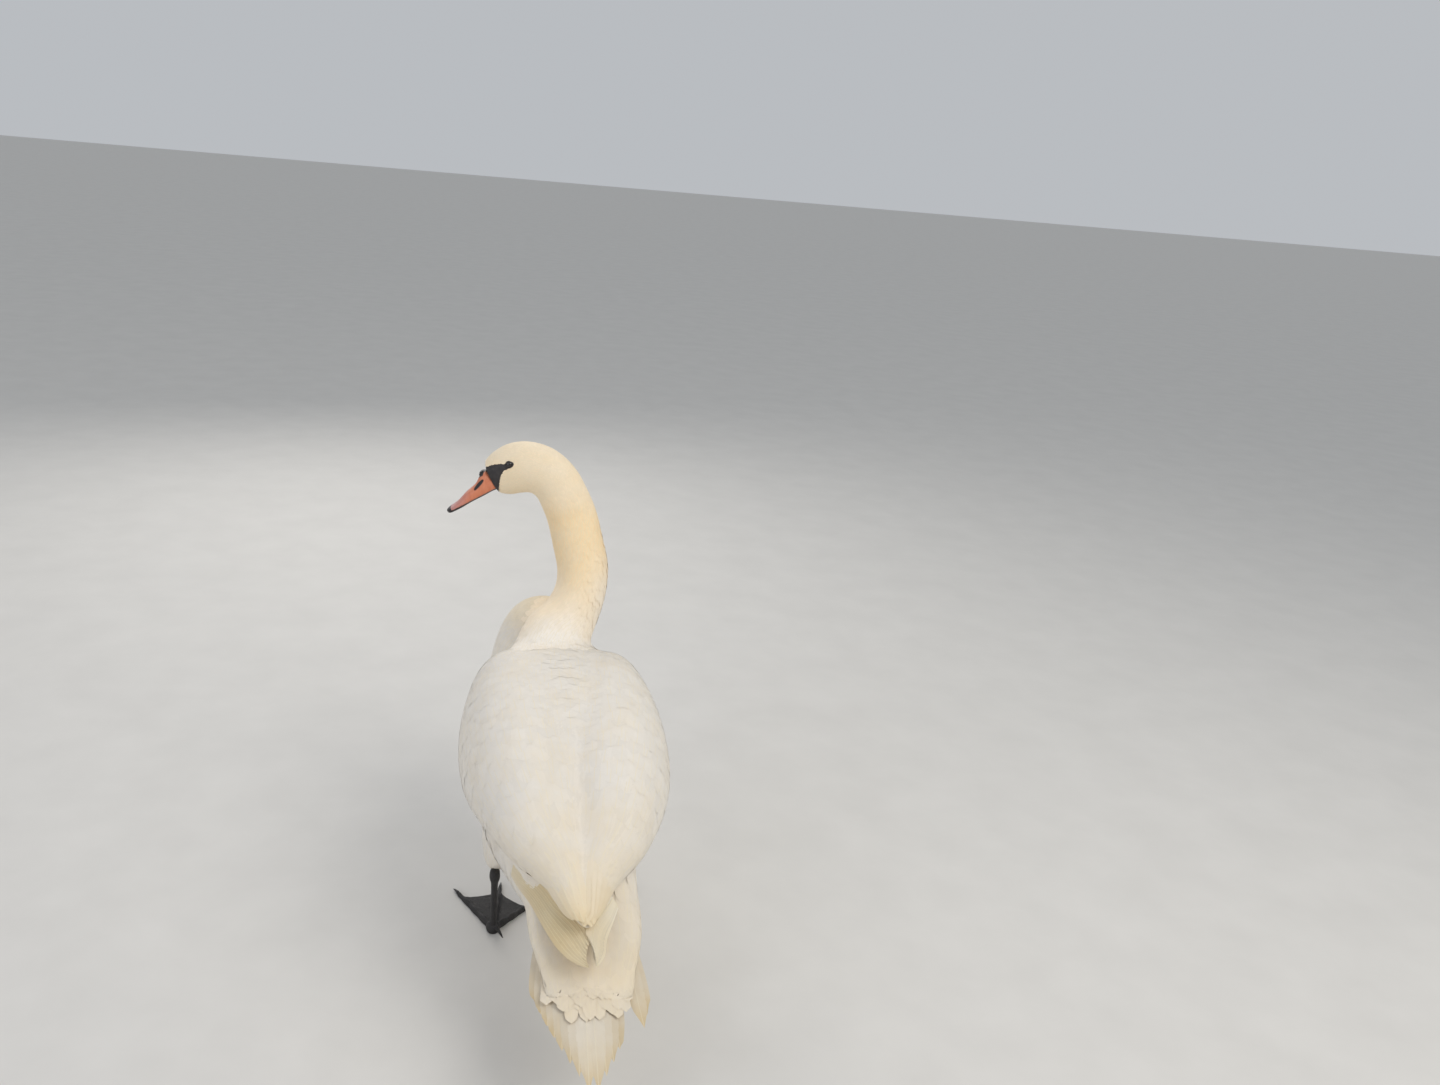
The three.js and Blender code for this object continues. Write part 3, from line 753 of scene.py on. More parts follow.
WINGS = {
    side: wing_loft(WING_ROWS, WING_MIDDLE, side, overlap, (0.16, 0.08), 2.2)
    for side, overlap in ((Side.LEFT, LEFT_OVERLAP), (Side.RIGHT, 0.0))
}
BLADES = {
    side: wing_loft(rows, BLADE_MIDDLE, side, 0.0, (0.1, 0.12), 2.0)
    for side, rows in ((Side.LEFT, BLADE_LEFT), (Side.RIGHT, BLADE_RIGHT))
}
THIGHS = {
    side: Loft(
        [
            Station(side.value * 66, -52, 214, 38, 54, 48),
            Station(side.value * 74, -40, 180, 35, 48, 44),
            Station(side.value * 82, -18, 144, 26, 33, 33),
            Station(side.value * 87, 5, 110, 13, 16, 16),
        ],
        blunt=(0.2, 0.16),
    )
    for side in Side
}

# ------------ meshes


def mesh_object(name: str, points: Array, faces: Faces, maps: Optional[dict[str, Array]] = None,
                values: Optional[dict[str, Array]] = None, rim: Optional[Array] = None) -> Piece:
    """Makes a smooth-shaded mesh object.

    Args:
        name: The object's name.
        points: Vertices in millimetres, in the bird's frame.
        faces: Tables of corner numbers, one table for each number of corners.
        maps: UV maps by name, with one row for each vertex.
        values: Numbers by attribute name, one for each vertex.
        rim: True for the vertices of outlines, whose edges stay sharp.

    Returns:
        The object, linked to the scene.
    """
    mesh = bpy.data.meshes.new(name)
    mesh.vertices.add(len(points))
    mesh.vertices.foreach_set("co", ((points + SHIFT) * MM).astype(np.float32).ravel())
    corners = np.concatenate([table.ravel() for table in faces]).astype(np.int32)
    sizes = np.concatenate([np.full(len(table), table.shape[1]) for table in faces])
    mesh.loops.add(len(corners))
    mesh.loops.foreach_set("vertex_index", corners)
    mesh.polygons.add(len(sizes))
    mesh.polygons.foreach_set("loop_start", (np.cumsum(sizes) - sizes).astype(np.int32))
    mesh.update(calc_edges=True)
    mesh.shade_smooth()
    for key, rows in (maps or {}).items():
        mesh.uv_layers.new(name=key).data.foreach_set("uv", rows[corners].astype(np.float32).ravel())
    for key, numbers in (values or {}).items():
        attribute = mesh.attributes.new(key, "FLOAT", "POINT")
        attribute.data.foreach_set("value", numbers.astype(np.float32))
    if rim is not None:
        ends = np.empty(len(mesh.edges) * 2, np.int32)
        mesh.edges.foreach_get("vertices", ends)
        mesh.edges.foreach_set("use_edge_sharp", rim[ends.reshape(-1, 2)].all(1))
    thing = bpy.data.objects.new(name, mesh)
    bpy.context.scene.collection.objects.link(thing)
    return thing


def present(thing: Piece, finish: Finish, slot: Slot, *nodes: str) -> Piece:
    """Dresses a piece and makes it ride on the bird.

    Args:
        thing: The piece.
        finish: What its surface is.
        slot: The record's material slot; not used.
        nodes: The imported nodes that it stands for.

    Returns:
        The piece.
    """
    thing.data.materials.append(finish.material())
    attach(thing, "root")
    if nodes:
        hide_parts(*nodes)
    return thing


def cells(grid: Array) -> Array:
    """The quads of a grid of vertex numbers."""
    return np.stack([grid[:-1, :-1], grid[1:, :-1], grid[1:, 1:], grid[:-1, 1:]], -1).reshape(-1, 4)


def arrays(mesh: bpy.types.Mesh) -> tuple[Array, Array]:
    """The vertices of a mesh, in millimetres in the bird's frame, and its triangles."""
    points = np.empty(len(mesh.vertices) * 3, np.float32)
    mesh.vertices.foreach_get("co", points)
    mesh.calc_loop_triangles()
    triangles = np.empty(len(mesh.loop_triangles) * 3, np.int32)
    mesh.loop_triangles.foreach_get("vertices", triangles)
    return points.reshape(-1, 3).astype(float) / MM - SHIFT, triangles.reshape(-1, 3)


def fused(parts: Sequence[tuple[Array, Faces]], voxel: float) -> tuple[Array, Array]:
    """Melts overlapping closed meshes into one outer surface.

    Args:
        parts: Vertices and faces of each mesh.
        voxel: Grain of the new surface in millimetres.

    Returns:
        Vertices and triangles.
    """
    starts = np.cumsum([0] + [len(vertices) for vertices, _ in parts])
    faces = [table + start for (_, tables), start in zip(parts, starts) for table in tables]
    thing = mesh_object("melt", np.concatenate([vertices for vertices, _ in parts]), faces)
    remesh = thing.modifiers.new("melt", "REMESH")
    remesh.mode = "VOXEL"
    remesh.voxel_size = voxel * MM
    solid = bpy.data.meshes.new_from_object(thing.evaluated_get(bpy.context.evaluated_depsgraph_get()))
    result = arrays(solid)
    bpy.data.objects.remove(thing)
    bpy.data.meshes.remove(solid)
    return result


def editable(points: Array, faces: Faces) -> bmesh.types.BMesh:
    """An editable mesh with these vertices and faces."""
    bm = bmesh.new()
    verts = [bm.verts.new(p) for p in points.tolist()]
    for table in faces:
        for corners in table.tolist():
            bm.faces.new([verts[k] for k in corners])
    bm.verts.index_update()
    return bm


def finished(bm: bmesh.types.BMesh) -> tuple[Array, list[Array]]:
    """The vertices, triangles and quads of an editable mesh, which is then given up."""
    bm.verts.index_update()
    points = np.array([v.co[:] for v in bm.verts])
    rows = [[v.index for v in f.verts] for f in bm.faces]
    bm.free()
    tables = [np.array([row for row in rows if len(row) == corners]) for corners in (3, 4)]
    return points, [table for table in tables if len(table)]


@dataclass
class Weave:
    """Which vertices of a mesh are neighbours, for smoothing what they carry."""

    triangles: Array
    count: int
    table: Array = field(init=False)
    degree: Array = field(init=False)

    def __post_init__(self) -> None:
        """Lists each vertex's neighbours in a row, filled up with the vertex itself."""
        t = self.triangles
        pairs = np.unique(np.sort(np.concatenate([t[:, [0, 1]], t[:, [1, 2]], t[:, [2, 0]]]), axis=1), axis=0)
        both = np.concatenate([pairs, pairs[:, ::-1]])
        both = both[np.argsort(both[:, 0], kind="stable")]
        self.degree = np.bincount(both[:, 0], minlength=self.count)
        first = np.cumsum(self.degree) - self.degree
        self.table = np.repeat(np.arange(self.count)[:, None], self.degree.max(), 1)
        self.table[both[:, 0], np.arange(len(both)) - first[both[:, 0]]] = both[:, 1]

    def mean(self, values: Array) -> Array:
        """The mean of the neighbours' values at each vertex."""
        spare = (self.table.shape[1] - self.degree)[:, None]
        return (values[self.table].sum(1) - spare * values) / np.maximum(self.degree, 1)[:, None]

    def relax(self, values: Array, rounds: Array) -> Array:
        """Smooths values, each vertex for its own number of rounds."""
        for turn in range(int(rounds.max())):
            share = 0.5 * np.clip(rounds - turn, 0, 1)[:, None]
            values = values + share * (self.mean(values) - values)
        return values


def vertex_normals(points: Array, triangles: Array) -> Array:
    """Outward unit normals at the vertices of a closed mesh."""
    a, b, c = (points[triangles[:, k]] for k in range(3))
    face = np.cross(b - a, c - a)
    total = np.zeros_like(points)
    for k in range(3):
        for axis in range(3):
            total[:, axis] += np.bincount(triangles[:, k], face[:, axis], len(points))
    return unit(total)


# ------------ the outer form


@dataclass(frozen=True)
class Guide:
    """A swept body with what the coat does on it; the tuples are knots along it."""

    name: str
    loft: Loft
    rings: int
    around: int
    depth: Knots  # how far the skin lies under the coat
    relax: Knots  # rounds of smoothing of the outer form


GUIDES = (
    Guide("neck", NECK, 180, 72, (1.2, 1.4, 1.8, 2.4, 3.2, 3.5, 4, 5), (3, 4, 6, 8, 8, 8, 18, 44)),
    Guide("crop", CROP, 70, 90, (5, 6, 7, 7), (30, 20, 20, 24)),
    Guide("trunk", TRUNK, 160, 130, (7, 8, 8, 8, 7, 5, 2), (24, 24, 24, 24, 16, 10, 2)),
    Guide("wing_left", WINGS[Side.LEFT], 130, 100, (7, 8, 8, 7, 5, 3), (24, 22, 20, 16, 8, 2)),
    Guide("wing_right", WINGS[Side.RIGHT], 130, 100, (7, 8, 8, 7, 5, 3), (24, 22, 20, 16, 8, 2)),
    Guide("thigh_left", THIGHS[Side.LEFT], 50, 60, (6, 5, 4, 3), (14, 10, 6, 3)),
    Guide("thigh_right", THIGHS[Side.RIGHT], 50, 60, (6, 5, 4, 3), (14, 10, 6, 3)),
)


@dataclass
class Form:
    """The bird's outer form, on which the feathers lie, with the lie of the coat at each vertex."""

    voxel: float = 3.6
    lie_rounds: int = 30
    points: Array = field(init=False)
    triangles: Array = field(init=False)
    normals: Array = field(init=False)
    lie: Array = field(init=False)
    depth: Array = field(init=False)
    tree: BVHTree = field(init=False)

    def __post_init__(self) -> None:
        """Melts the swept bodies together, smooths them and works out the lie."""
        shells = [guide.loft.shell(guide.rings, guide.around) for guide in GUIDES]
        points, self.triangles = fused(shells, self.voxel)
        weave = Weave(self.triangles, len(points))
        places, facts = [], []
        for (vertices, _), guide in zip(shells, GUIDES):
            t, angle = guide.loft.net(guide.rings, guide.around)
            ahead = guide.loft.points(np.minimum(t + 0.004, 1), angle)
            behind = guide.loft.points(np.maximum(t - 0.004, 0), angle)
            rest = np.stack([curve(guide.depth, t), curve(guide.relax, t)], 1)
            places.append(vertices[: len(t)])
            facts.append(np.concatenate([unit(ahead - behind), rest], 1))
        samples = KDTree(sum(len(rows) for rows in places))
        for number, place in enumerate(np.concatenate(places).tolist()):
            samples.insert(place, number)
        samples.balance()
        picked = np.concatenate(facts)[[samples.find(place)[1] for place in points.tolist()]]
        lie, depth, rounds = picked[:, 0:3], picked[:, 3], picked[:, 4]
        self.points = weave.relax(points, weave.relax(rounds[:, None], np.full(len(points), 6))[:, 0])
        self.normals = vertex_normals(self.points, self.triangles)
        self.depth = weave.relax(depth[:, None], np.full(len(points), 12))[:, 0]
        self.lie = unit(self.level(weave.relax(lie, np.full(len(points), self.lie_rounds))))
        self.tree = BVHTree.FromPolygons(self.points.tolist(), self.triangles.tolist())

    def level(self, vectors: Array) -> Array:
        """Vectors at the vertices, without their part along the normals."""
        return vectors - self.normals * (vectors * self.normals).sum(-1, keepdims=True)

    def nearest(self, places: Array) -> tuple[Array, Array, Array]:
        """The nearest points of the form.

        Args:
            places: Points in millimetres, in any shape of table.

        Returns:
            Nearest points, smooth normals and lie directions, in the same shape.
        """
        find = self.tree.find_nearest
        hits = [find(place) for place in places.reshape(-1, 3).tolist()]
        found = np.array([hit[0].to_tuple() for hit in hits])
        corners = self.triangles[[hit[2] for hit in hits]]
        a, b, c = (self.points[corners[:, k]] for k in range(3))
        whole = np.cross(b - a, c - a)
        size = np.maximum((whole * whole).sum(1), 1e-12)
        second = (np.cross(found - a, c - a) * whole).sum(1) / size
        third = (np.cross(b - a, found - a) * whole).sum(1) / size
        weights = np.stack([1 - second - third, second, third], 1)[..., None]
        normal = unit((weights * self.normals[corners]).sum(1))
        lie = (weights * self.lie[corners]).sum(1)
        lie = unit(lie - normal * (lie * normal).sum(1, keepdims=True))
        return tuple(rows.reshape(places.shape) for rows in (found, normal, lie))

    def aside(self, forward: float, up: float, side: Side) -> float:
        """How far the head's surface lies to one side at a place of its own plane."""
        out = Vector(HEAD.left * side.value)
        hit = self.tree.ray_cast(Vector(HEAD.point(forward, up)) + out * 80, -out)[0]
        return float(HEAD.parts(np.array(hit))[2] * side.value)


# ------------ markings


@dataclass(frozen=True)
class BareFace:
    """The bare black skin between eye and bill, as an outline in the head's own plane."""

    outline: tuple[Pair, ...] = (
        (-10.5, 6.2), (-4, 8.6), (4.5, 5.0), (18, 2.2), (29, -0.8), (34, -5.5), (39, -12),
        (60, -12), (60, -70), (13, -50), (11.5, -33), (9.8, -17.5), (5, -8.5), (-3, -1.5), (-9, 1.2),
    )

    def depth(self, points: Array) -> Array:
        """How far points lie inside the outline, negative outside it, in millimetres."""
        place = HEAD.parts(points)[..., 0:2]
        inside = np.zeros(place.shape[:-1], bool)
        gap = np.full(place.shape[:-1], np.inf)
        knots = np.array(self.outline)
        for a, b in zip(knots, np.roll(knots, -1, 0)):
            gap = np.minimum(gap, beside(place, a, b)[0])
            crossing = (a[1] > place[..., 1]) != (b[1] > place[..., 1])
            where = a[0] + (place[..., 1] - a[1]) * (b[0] - a[0]) / (b[1] - a[1] if b[1] != a[1] else 1e-9)
            inside ^= crossing & (place[..., 0] < where)
        far = np.abs(HEAD.parts(points)).max(-1) > 90
        return np.where(inside & ~far, gap, -gap)


FACE_SKIN = BareFace()


def creaminess(points: Array) -> Array:
    """How much cream stain the plumage carries: strongest on the neck, faint on the body.

    Args:
        points: Places in millimetres, in the bird's frame.

    Returns:
        0 for white to 1 for deep cream at each place.
    """
    y, z = points[..., 1], points[..., 2]
    neck = curve((0.10, 0.42, 0.62, 0.92, 0.98, 0.72, 0.62, 0.55), np.clip((z - 370) / 330, 0, 1))
    neck = neck * ease((z - 352) / 60) * ease((-150 - y) / 50)
    nape = ease((-30 - points[..., 0]) / 45) * ease((y + 262) / 60) * ease((620 - z) / 60)
    rear = 0.34 * ease((y - 150) / 170)
    return np.clip(neck * (1 - 0.5 * nape) + rear + 0.05, 0, 1)


# ------------ feathers


@dataclass(frozen=True)
class VaneShape:
    """The pattern that every small feather of a tract repeats: a thin closed lens."""

    rows: int
    columns: int
    profile: Knots = (0.3, 0.8, 1.0, 1.0, 0.86, 0.5)  # half width, root to tip
    point: float = 0.1  # how much shorter the vane is at its edges than in the middle
    thickness: float = 0.35
    camber: float = 0.5  # how much lower the edges lie than the shaft

    @property
    def grid(self) -> tuple[Array, Array]:
        """How far along and how far across each corner lies, from 0 to 1 and from -1 to 1."""
        u = np.linspace(0, 1, self.rows) ** 0.85
        v = np.linspace(-1, 1, self.columns)
        u, v = np.meshgrid(u, v, indexing="ij")
        return u * (1 - self.point * np.abs(v) ** 2 * u), v

    @property
    def width(self) -> Array:
        """The share of the half width at each corner."""
        u, v = self.grid
        return curve(self.profile, u) * v

    @property
    def rim(self) -> Array:
        """True for the corners on the outline."""
        edge = np.ones((self.rows, self.columns), bool)
        edge[1:-1, 1:-1] = False
        return edge.ravel()

    @property
    def faces(self) -> Array:
        """The quads of the upper side, then those of the under side, which share the outline."""
        size = self.rows * self.columns
        top = np.arange(size).reshape(self.rows, self.columns)
        under = top.copy()
        under[1:-1, 1:-1] = size + np.arange((self.rows - 2) * (self.columns - 2)).reshape(self.rows - 2, -1)
        return np.concatenate([cells(top), cells(under)[:, ::-1]])


def both_sides(upper: Array) -> Array:
    """What the corners of each vane's upper side carry, then the same for its under side."""
    count, size = len(upper), upper.shape[-1]
    return np.concatenate([upper.reshape(count, -1, size), upper[:, 1:-1, 1:-1].reshape(count, -1, size)], 1)


@dataclass
class Vanes:
    """Vanes that are ready to be joined into one piece: one row for each."""

    shape: VaneShape
    upper: Array  # (vanes, rows, columns, 3), the upper side
    under: Array  # (vanes, rows - 2, columns - 2, 3), the under side inside the outline
    reach: Array  # (vanes, rows, columns, 2), millimetres along and across each vane
    bake: Array  # (vanes, corners, 2), places on the baking map
    tone: Array  # (vanes,), how bright each one is
    cream: Optional[Array] = None  # (vanes, rows, columns, 1), or nothing where the place decides

    def piece(self, name: str, finish: Finish, slot: Slot, *nodes: str) -> Piece:
        """Joins the vanes into one mesh with its maps and markings.

        Args:
            name: The piece's name.
            finish: What its surface is.
            slot: The record's material slot.
            nodes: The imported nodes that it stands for.

        Returns:
            The object.
        """
        count = len(self.upper)
        points = np.concatenate([self.upper.reshape(count, -1, 3), self.under.reshape(count, -1, 3)], 1)
        each = points.shape[1]
        points = points.reshape(-1, 3)
        faces = (self.shape.faces[None] + (np.arange(count) * each)[:, None, None]).reshape(-1, 4)
        rim = np.pad(self.shape.rim, (0, each - len(self.shape.rim)))
        cream = creaminess(points) if self.cream is None else both_sides(self.cream).ravel()
        maps = {BAKE_MAP: self.bake.reshape(-1, 2), VANE_MAP: both_sides(self.reach).reshape(-1, 2)}
        values = {"cream": cream, "tone": np.repeat(self.tone, each)}
        thing = mesh_object(name, points, [faces], maps, values, np.tile(rim, count))
        return present(thing, finish, slot, *nodes)


@dataclass(frozen=True)
class Tract:
    """A field of overlapping feathers on one guide; tuples are knots from its front to its back."""

    name: str
    guide: Guide
    shape: VaneShape
    step: Knots  # from one row to the next
    gap: Knots  # between neighbours in a row
    length: Knots
    width: Knots
    lift: Knots  # how far tips stand off
    span: Pair = (0.0, 1.0)
    sink: float = 9.0  # roots that lie deeper than this under the outer form are left out
    tuck: float = 3.0  # how sharply the hidden part dips under the feathers before it
    depth_share: float = 0.6  # how much of the coat's depth the roots lie in
    wander: float = 4.0  # how far vanes turn off the lie, in degrees
    overhang: float = 1.0  # how far past the guide's end a tip may reach
    grip: float = 0.75  # share of a stride below which a vane has run over the end of the form
    jitter: float = 0.05  # how unevenly the vanes lie, in millimetres
    ruffle: Optional[Callable[[Array], Array]] = None  # extra lift at a place
    allow: Optional[Callable[[Array, Array], Array]] = None  # which places and normals bear feathers
    finish: Finish = PLUMAGE
    slot: Slot = Slot.WHITE_PLUMAGE

    def roots(self) -> tuple[Array, Array, Array, Array]:
        """Places of the roots, in offset rows.

        Returns:
            t, angle, share of the way round and share of the length, for each root.
        """
        loft = self.guide.loft
        fine = np.linspace(0, 1, 600)
        way = distances(loft.centre(fine))
        angles = np.linspace(0, 2 * np.pi, 181)
        rows, s, number = [], np.interp(self.span[0], fine, way), 0
        while s < np.interp(self.span[1], fine, way):
            t = float(np.interp(s, way, fine))
            ring = loft.points(np.full(181, max(t, 0.004)), angles)
            round_way = distances(ring)
            count = max(4, round(round_way[-1] / float(curve(self.gap, t))))
            share = (np.arange(count) + 0.5 * (number % 2)) / count
            angle = np.interp(share * round_way[-1], round_way, angles)
            rows.append(np.stack([np.full(count, t), angle, share, np.full(count, s / way[-1])], 1))
            s += float(curve(self.step, t))
            number += 1
        return tuple(np.concatenate(rows).T)

    def bend(self, form: Form, start: Sequence[Array], turn: Array, length: Array,
             half: Array) -> tuple[Array, Array]:
        """Bends vanes over the outer form, row by row.

        Args:
            form: The outer form.
            start: Places, normals and lie at the roots.
            turn: How far each vane turns off the lie, in radians.
            length: Their lengths.
            half: Their half widths.

        Returns:
            Places and normals at the corners of each vane.
        """
        root, normal, lie = start
        u = self.shape.grid[0]
        free = np.zeros(len(root), bool)
        upper, straight, loose = [], [], []
        for row, wide in enumerate(self.shape.width):
            aim = lie * np.cos(turn)[:, None] + np.cross(normal, lie) * np.sin(turn)[:, None]
            spread = np.cross(aim, normal)[:, None] * (half[:, None] * wide)[..., None]
            back = ((u[row] - u[row].max()) * length[:, None])[..., None]
            upper.append(root[:, None] + spread + aim[:, None] * back)
            straight.append(normal)
            loose.append(free)
            if row + 1 == self.shape.rows:
                break
            stride = (u[row + 1] - u[row])[self.shape.columns // 2] * length
            ahead = root + aim * stride[:, None]
            held = form.nearest(ahead)
            # A vane that has run over the end of the form goes on straight.
            free = free | (((held[0] - root) * aim).sum(1) < self.grip * stride)
            kept = (ahead, normal, lie)
            root, normal, lie = (np.where(free[:, None], a, b) for a, b in zip(kept, held))
        upper, loose = np.stack(upper, 1), np.stack(loose, 1)[..., None, None]
        held, normal, _ = form.nearest(upper)
        return np.where(loose, upper, held), np.where(loose, np.stack(straight, 1)[:, :, None], normal)

    def build(self, form: Form, rng: Random) -> list[Piece]:
        """Lays the tract's feathers on the outer form.

        Args:
            form: The outer form.
            rng: Source of small irregularities.

        Returns:
            The piece.
        """
        loft = self.guide.loft
        t, angle, around, way = self.roots()
        angle = angle + rng.normal(0, 0.02, len(t))
        t = np.clip(t + rng.normal(0, 0.0015, len(t)), 0.0005, 0.9995)
        place = loft.points(t, angle)
        root, normal, lie = form.nearest(place)
        keep = ((place - root) * normal).sum(1) > -self.sink
        keep &= (FACE.beyond(root) < -1.2) & (FACE_SKIN.depth(root) < 0.3)
        keep &= np.stack([eye.clear_of(root) for eye in EYES.values()]).min(0) > 0
        if self.allow:
            keep &= self.allow(root, normal)
        t, root, lie, normal = t[keep], root[keep], lie[keep], normal[keep]
        count = len(t)
        end = distances(loft.centre(np.linspace(0, 1, 400)))[-1]
        room = (1 - way[keep]) * end + self.overhang * curve(self.length, t)
        length = np.minimum(curve(self.length, t) * rng.normal(1, 0.06, count), np.maximum(room, 6))
        half = curve(self.width, t) / 2 * rng.normal(1, 0.05, count)
        turn = np.radians(rng.normal(0, self.wander, count))
        u, v = self.shape.grid
        upper, normal = self.bend(form, (root, normal, lie), turn, length, half)
        depth = (curve(self.guide.depth, t) * self.depth_share)[:, None, None]
        lift = curve(self.lift, t) * rng.uniform(0.6, 1.3, count)
        if self.ruffle:
            lift = lift + self.ruffle(upper[:, -1, self.shape.columns // 2]) * rng.uniform(0, 1, count) ** 3
        height = lift[:, None, None] * u[None] ** 2 - depth * (1 - u[None]) ** self.tuck
        height = height - self.shape.camber * v[None] ** 2 * curve((0.2, 1.0, 1.0), u)[None]
        height = height + rng.uniform(-self.jitter, self.jitter, count)[:, None, None]
        upper = upper + normal * height[..., None]
        under = upper[:, 1:-1, 1:-1] - normal[:, 1:-1, 1:-1] * self.shape.thickness
        reach = (u[None] * length[:, None, None], self.shape.width[None] * half[:, None, None])
        patch = both_sides(np.stack([v / 2, u - 0.5], -1)[None] * BAKE_PATCH)
        bake = np.clip(np.stack([around[keep], way[keep]], 1)[:, None] * 0.99 + 0.005 + patch, 0.001, 0.999)
        vanes = Vanes(self.shape, upper, under, np.stack(reach, -1), bake, rng.uniform(0, 1, count))
        return [vanes.piece(self.name, self.finish, self.slot)]


# ------------ long quills


@dataclass(frozen=True)
class Quill:
    """One long stiff feather, laid along a line of points with its own way across and out."""

    line: Array  # (rows, 3)
    across: Array  # (rows, 3), towards the wider vane
    out: Array  # (rows, 3), away from the bird
    narrow: float  # width of the vane on the other side, in millimetres
    broad: float
    taper: Knots = (0.35, 0.8, 1.0, 1.0, 0.95, 0.72)  # width, root to tip
    tip: float = 16.0  # how much shorter the edges are than the shaft
    ragged: float = 0.0  # how far worn barbs fall short at the tip
    shaft: float = 1.5
    thickness: float = 0.5
    camber: float = 1.6
    tone: float = 0.5
    cream: Knots = (0.2, 0.3, 0.6)


# Where the corners of a long feather lie across it, from its narrow vane over the shaft to its wide one.
QUILL_COLUMNS = (
    -1, -0.86, -0.66, -0.45, -0.25, -0.1, -0.03, 0.03, 0.1, 0.22, 0.36, 0.5, 0.64, 0.78, 0.9, 1,
)


def quill_vanes(quills: Sequence[Quill], rng: Random) -> Vanes:
    """Shapes long feathers.

    Args:
        quills: The feathers, all with the same number of rows.
        rng: Source of the worn tips.

    Returns:
        Their vanes.
    """
    v = np.array(QUILL_COLUMNS)
    rows = len(quills[0].line)
    u = np.linspace(0, 1, rows) ** 0.9
    uppers, unders, reaches, creams = [], [], [], []
    for quill in quills:
        length = distances(quill.line)[-1]
        wear = np.convolve(rng.uniform(0, 1, len(v) + 2), (0.25, 0.5, 0.25), "valid") * quill.ragged
        short = (quill.tip * np.abs(v) ** 1.7 + wear * (1 - 0.6 * (np.abs(v) < 0.15))) / length
        at = u[:, None] * (1 - short[None] * ease((u[:, None] - 0.55) / 0.45))
        half = np.where(v < 0, quill.narrow, quill.broad)[None] * curve(quill.taper, at)
        place = at * (rows - 1)
        low = np.clip(np.floor(place).astype(int), 0, rows - 2)
        mix = (place - low)[..., None]
        line, across, out = (
            row[low] * (1 - mix) + row[low + 1] * mix for row in (quill.line, quill.across, quill.out)
        )
        rib = quill.shaft * (1 - 0.8 * at) * (np.abs(v) < 0.05)[None]
        height = rib * 0.5 - quill.camber * np.abs(v)[None] ** 2 * curve((0.6, 1.0, 0.8), at)
        split = rng.uniform(-0.25, 0.25, at.shape) * (np.abs(v) > 0.2)[None] * ease((at - 0.3) / 0.4)
        upper = line + across * (half * v[None])[..., None] + out * (height + split)[..., None]
        uppers.append(upper)
        unders.append(upper[1:-1, 1:-1] - out[1:-1, 1:-1] * (quill.thickness + 1.2 * rib[1:-1, 1:-1, None]))
        reaches.append(np.stack([at * length, half * v[None]], -1))
        creams.append(curve(quill.cream, at)[..., None])
    tone = np.array([quill.tone for quill in quills])
    # On the baking map each feather has two strips, one for each side.
    strip = np.stack(np.broadcast_arrays((v + 1) * 0.22, u[:, None]), -1)
    strips = np.concatenate([strip.reshape(-1, 2), strip[1:-1, 1:-1].reshape(-1, 2) + (0.5, 0)])
    number = np.stack([np.arange(len(quills)) + 0.03, np.zeros(len(quills))], -1)
    bake = (strips + number[:, None]) / (len(quills), 1) * 0.98 + 0.01
    sides = (np.array(part) for part in (uppers, unders, reaches))
    return Vanes(VaneShape(rows, len(v)), *sides, bake, tone, np.array(creams))


@dataclass
class Primaries:
    """The long outer feathers of a folded wing, fanned from its lower border to the middle line."""

    side: Side
    count: int = 9
    rows: int = 44
    width: float = 15.0
    stagger: float = 0.02  # how much shorter each feather is than the one outside it
    layer: float = 0.55  # from one feather to the next in the stack
    front: float = 0.12  # where along the blade the quills start, under the coverts
    reach: float = 16.0  # how far the innermost feather lies past the blade's upper edge at its tip

    def build(self, rng: Random) -> list[Piece]:
        """Makes the blade's feathers."""
        loft = BLADES[self.side]
        quills = []
        for number in range(self.count):
            place = number / (self.count - 1)  # 0 for the innermost, uppermost feather
            end = 0.985 - self.stagger * (self.count - 1 - number)
            t = np.linspace(self.front, end, self.rows)
            tangent, side, dorsal = loft.axes(t)
            out = side * self.side.value
            sizes = along(loft.table[:, 3:6], t)
            # The outer feathers lie towards the lower edge, the inner ones towards the upper edge.
            low, high = -sizes[:, 2], sizes[:, 1] + self.reach * t**2
            half = np.minimum(self.width / 2, (high - low) / 2.5)
            offset = (high - half) + (low - high + 2 * half) * place
            rise = self.layer * (self.count / 2 - number)
            line = loft.centre(t) + dorsal * offset[:, None] + out * rise
            across = np.cross(out, tangent)
            across = across * np.sign((across * dorsal).sum(1, keepdims=True))
            pale = 0.0 if self.side is Side.LEFT else 0.35
            quills.append(Quill(line, across, out, self.width * 0.4, self.width * 0.75,
                                taper=(0.5, 0.85, 1.0, 0.95, 0.8, 0.4), tip=17, ragged=2.5,
                                tone=float(rng.uniform(0.1, 1.0)),
                                cream=tuple(np.array((0.35, 0.6, 0.75, 0.8, 0.75, 0.65)) - pale)))
        node = f"primaries_{self.side.word}"
        return [quill_vanes(quills, rng).piece(f"{node}_vanes", WING_QUILLS, Slot.CREAM_QUILLS, node)]


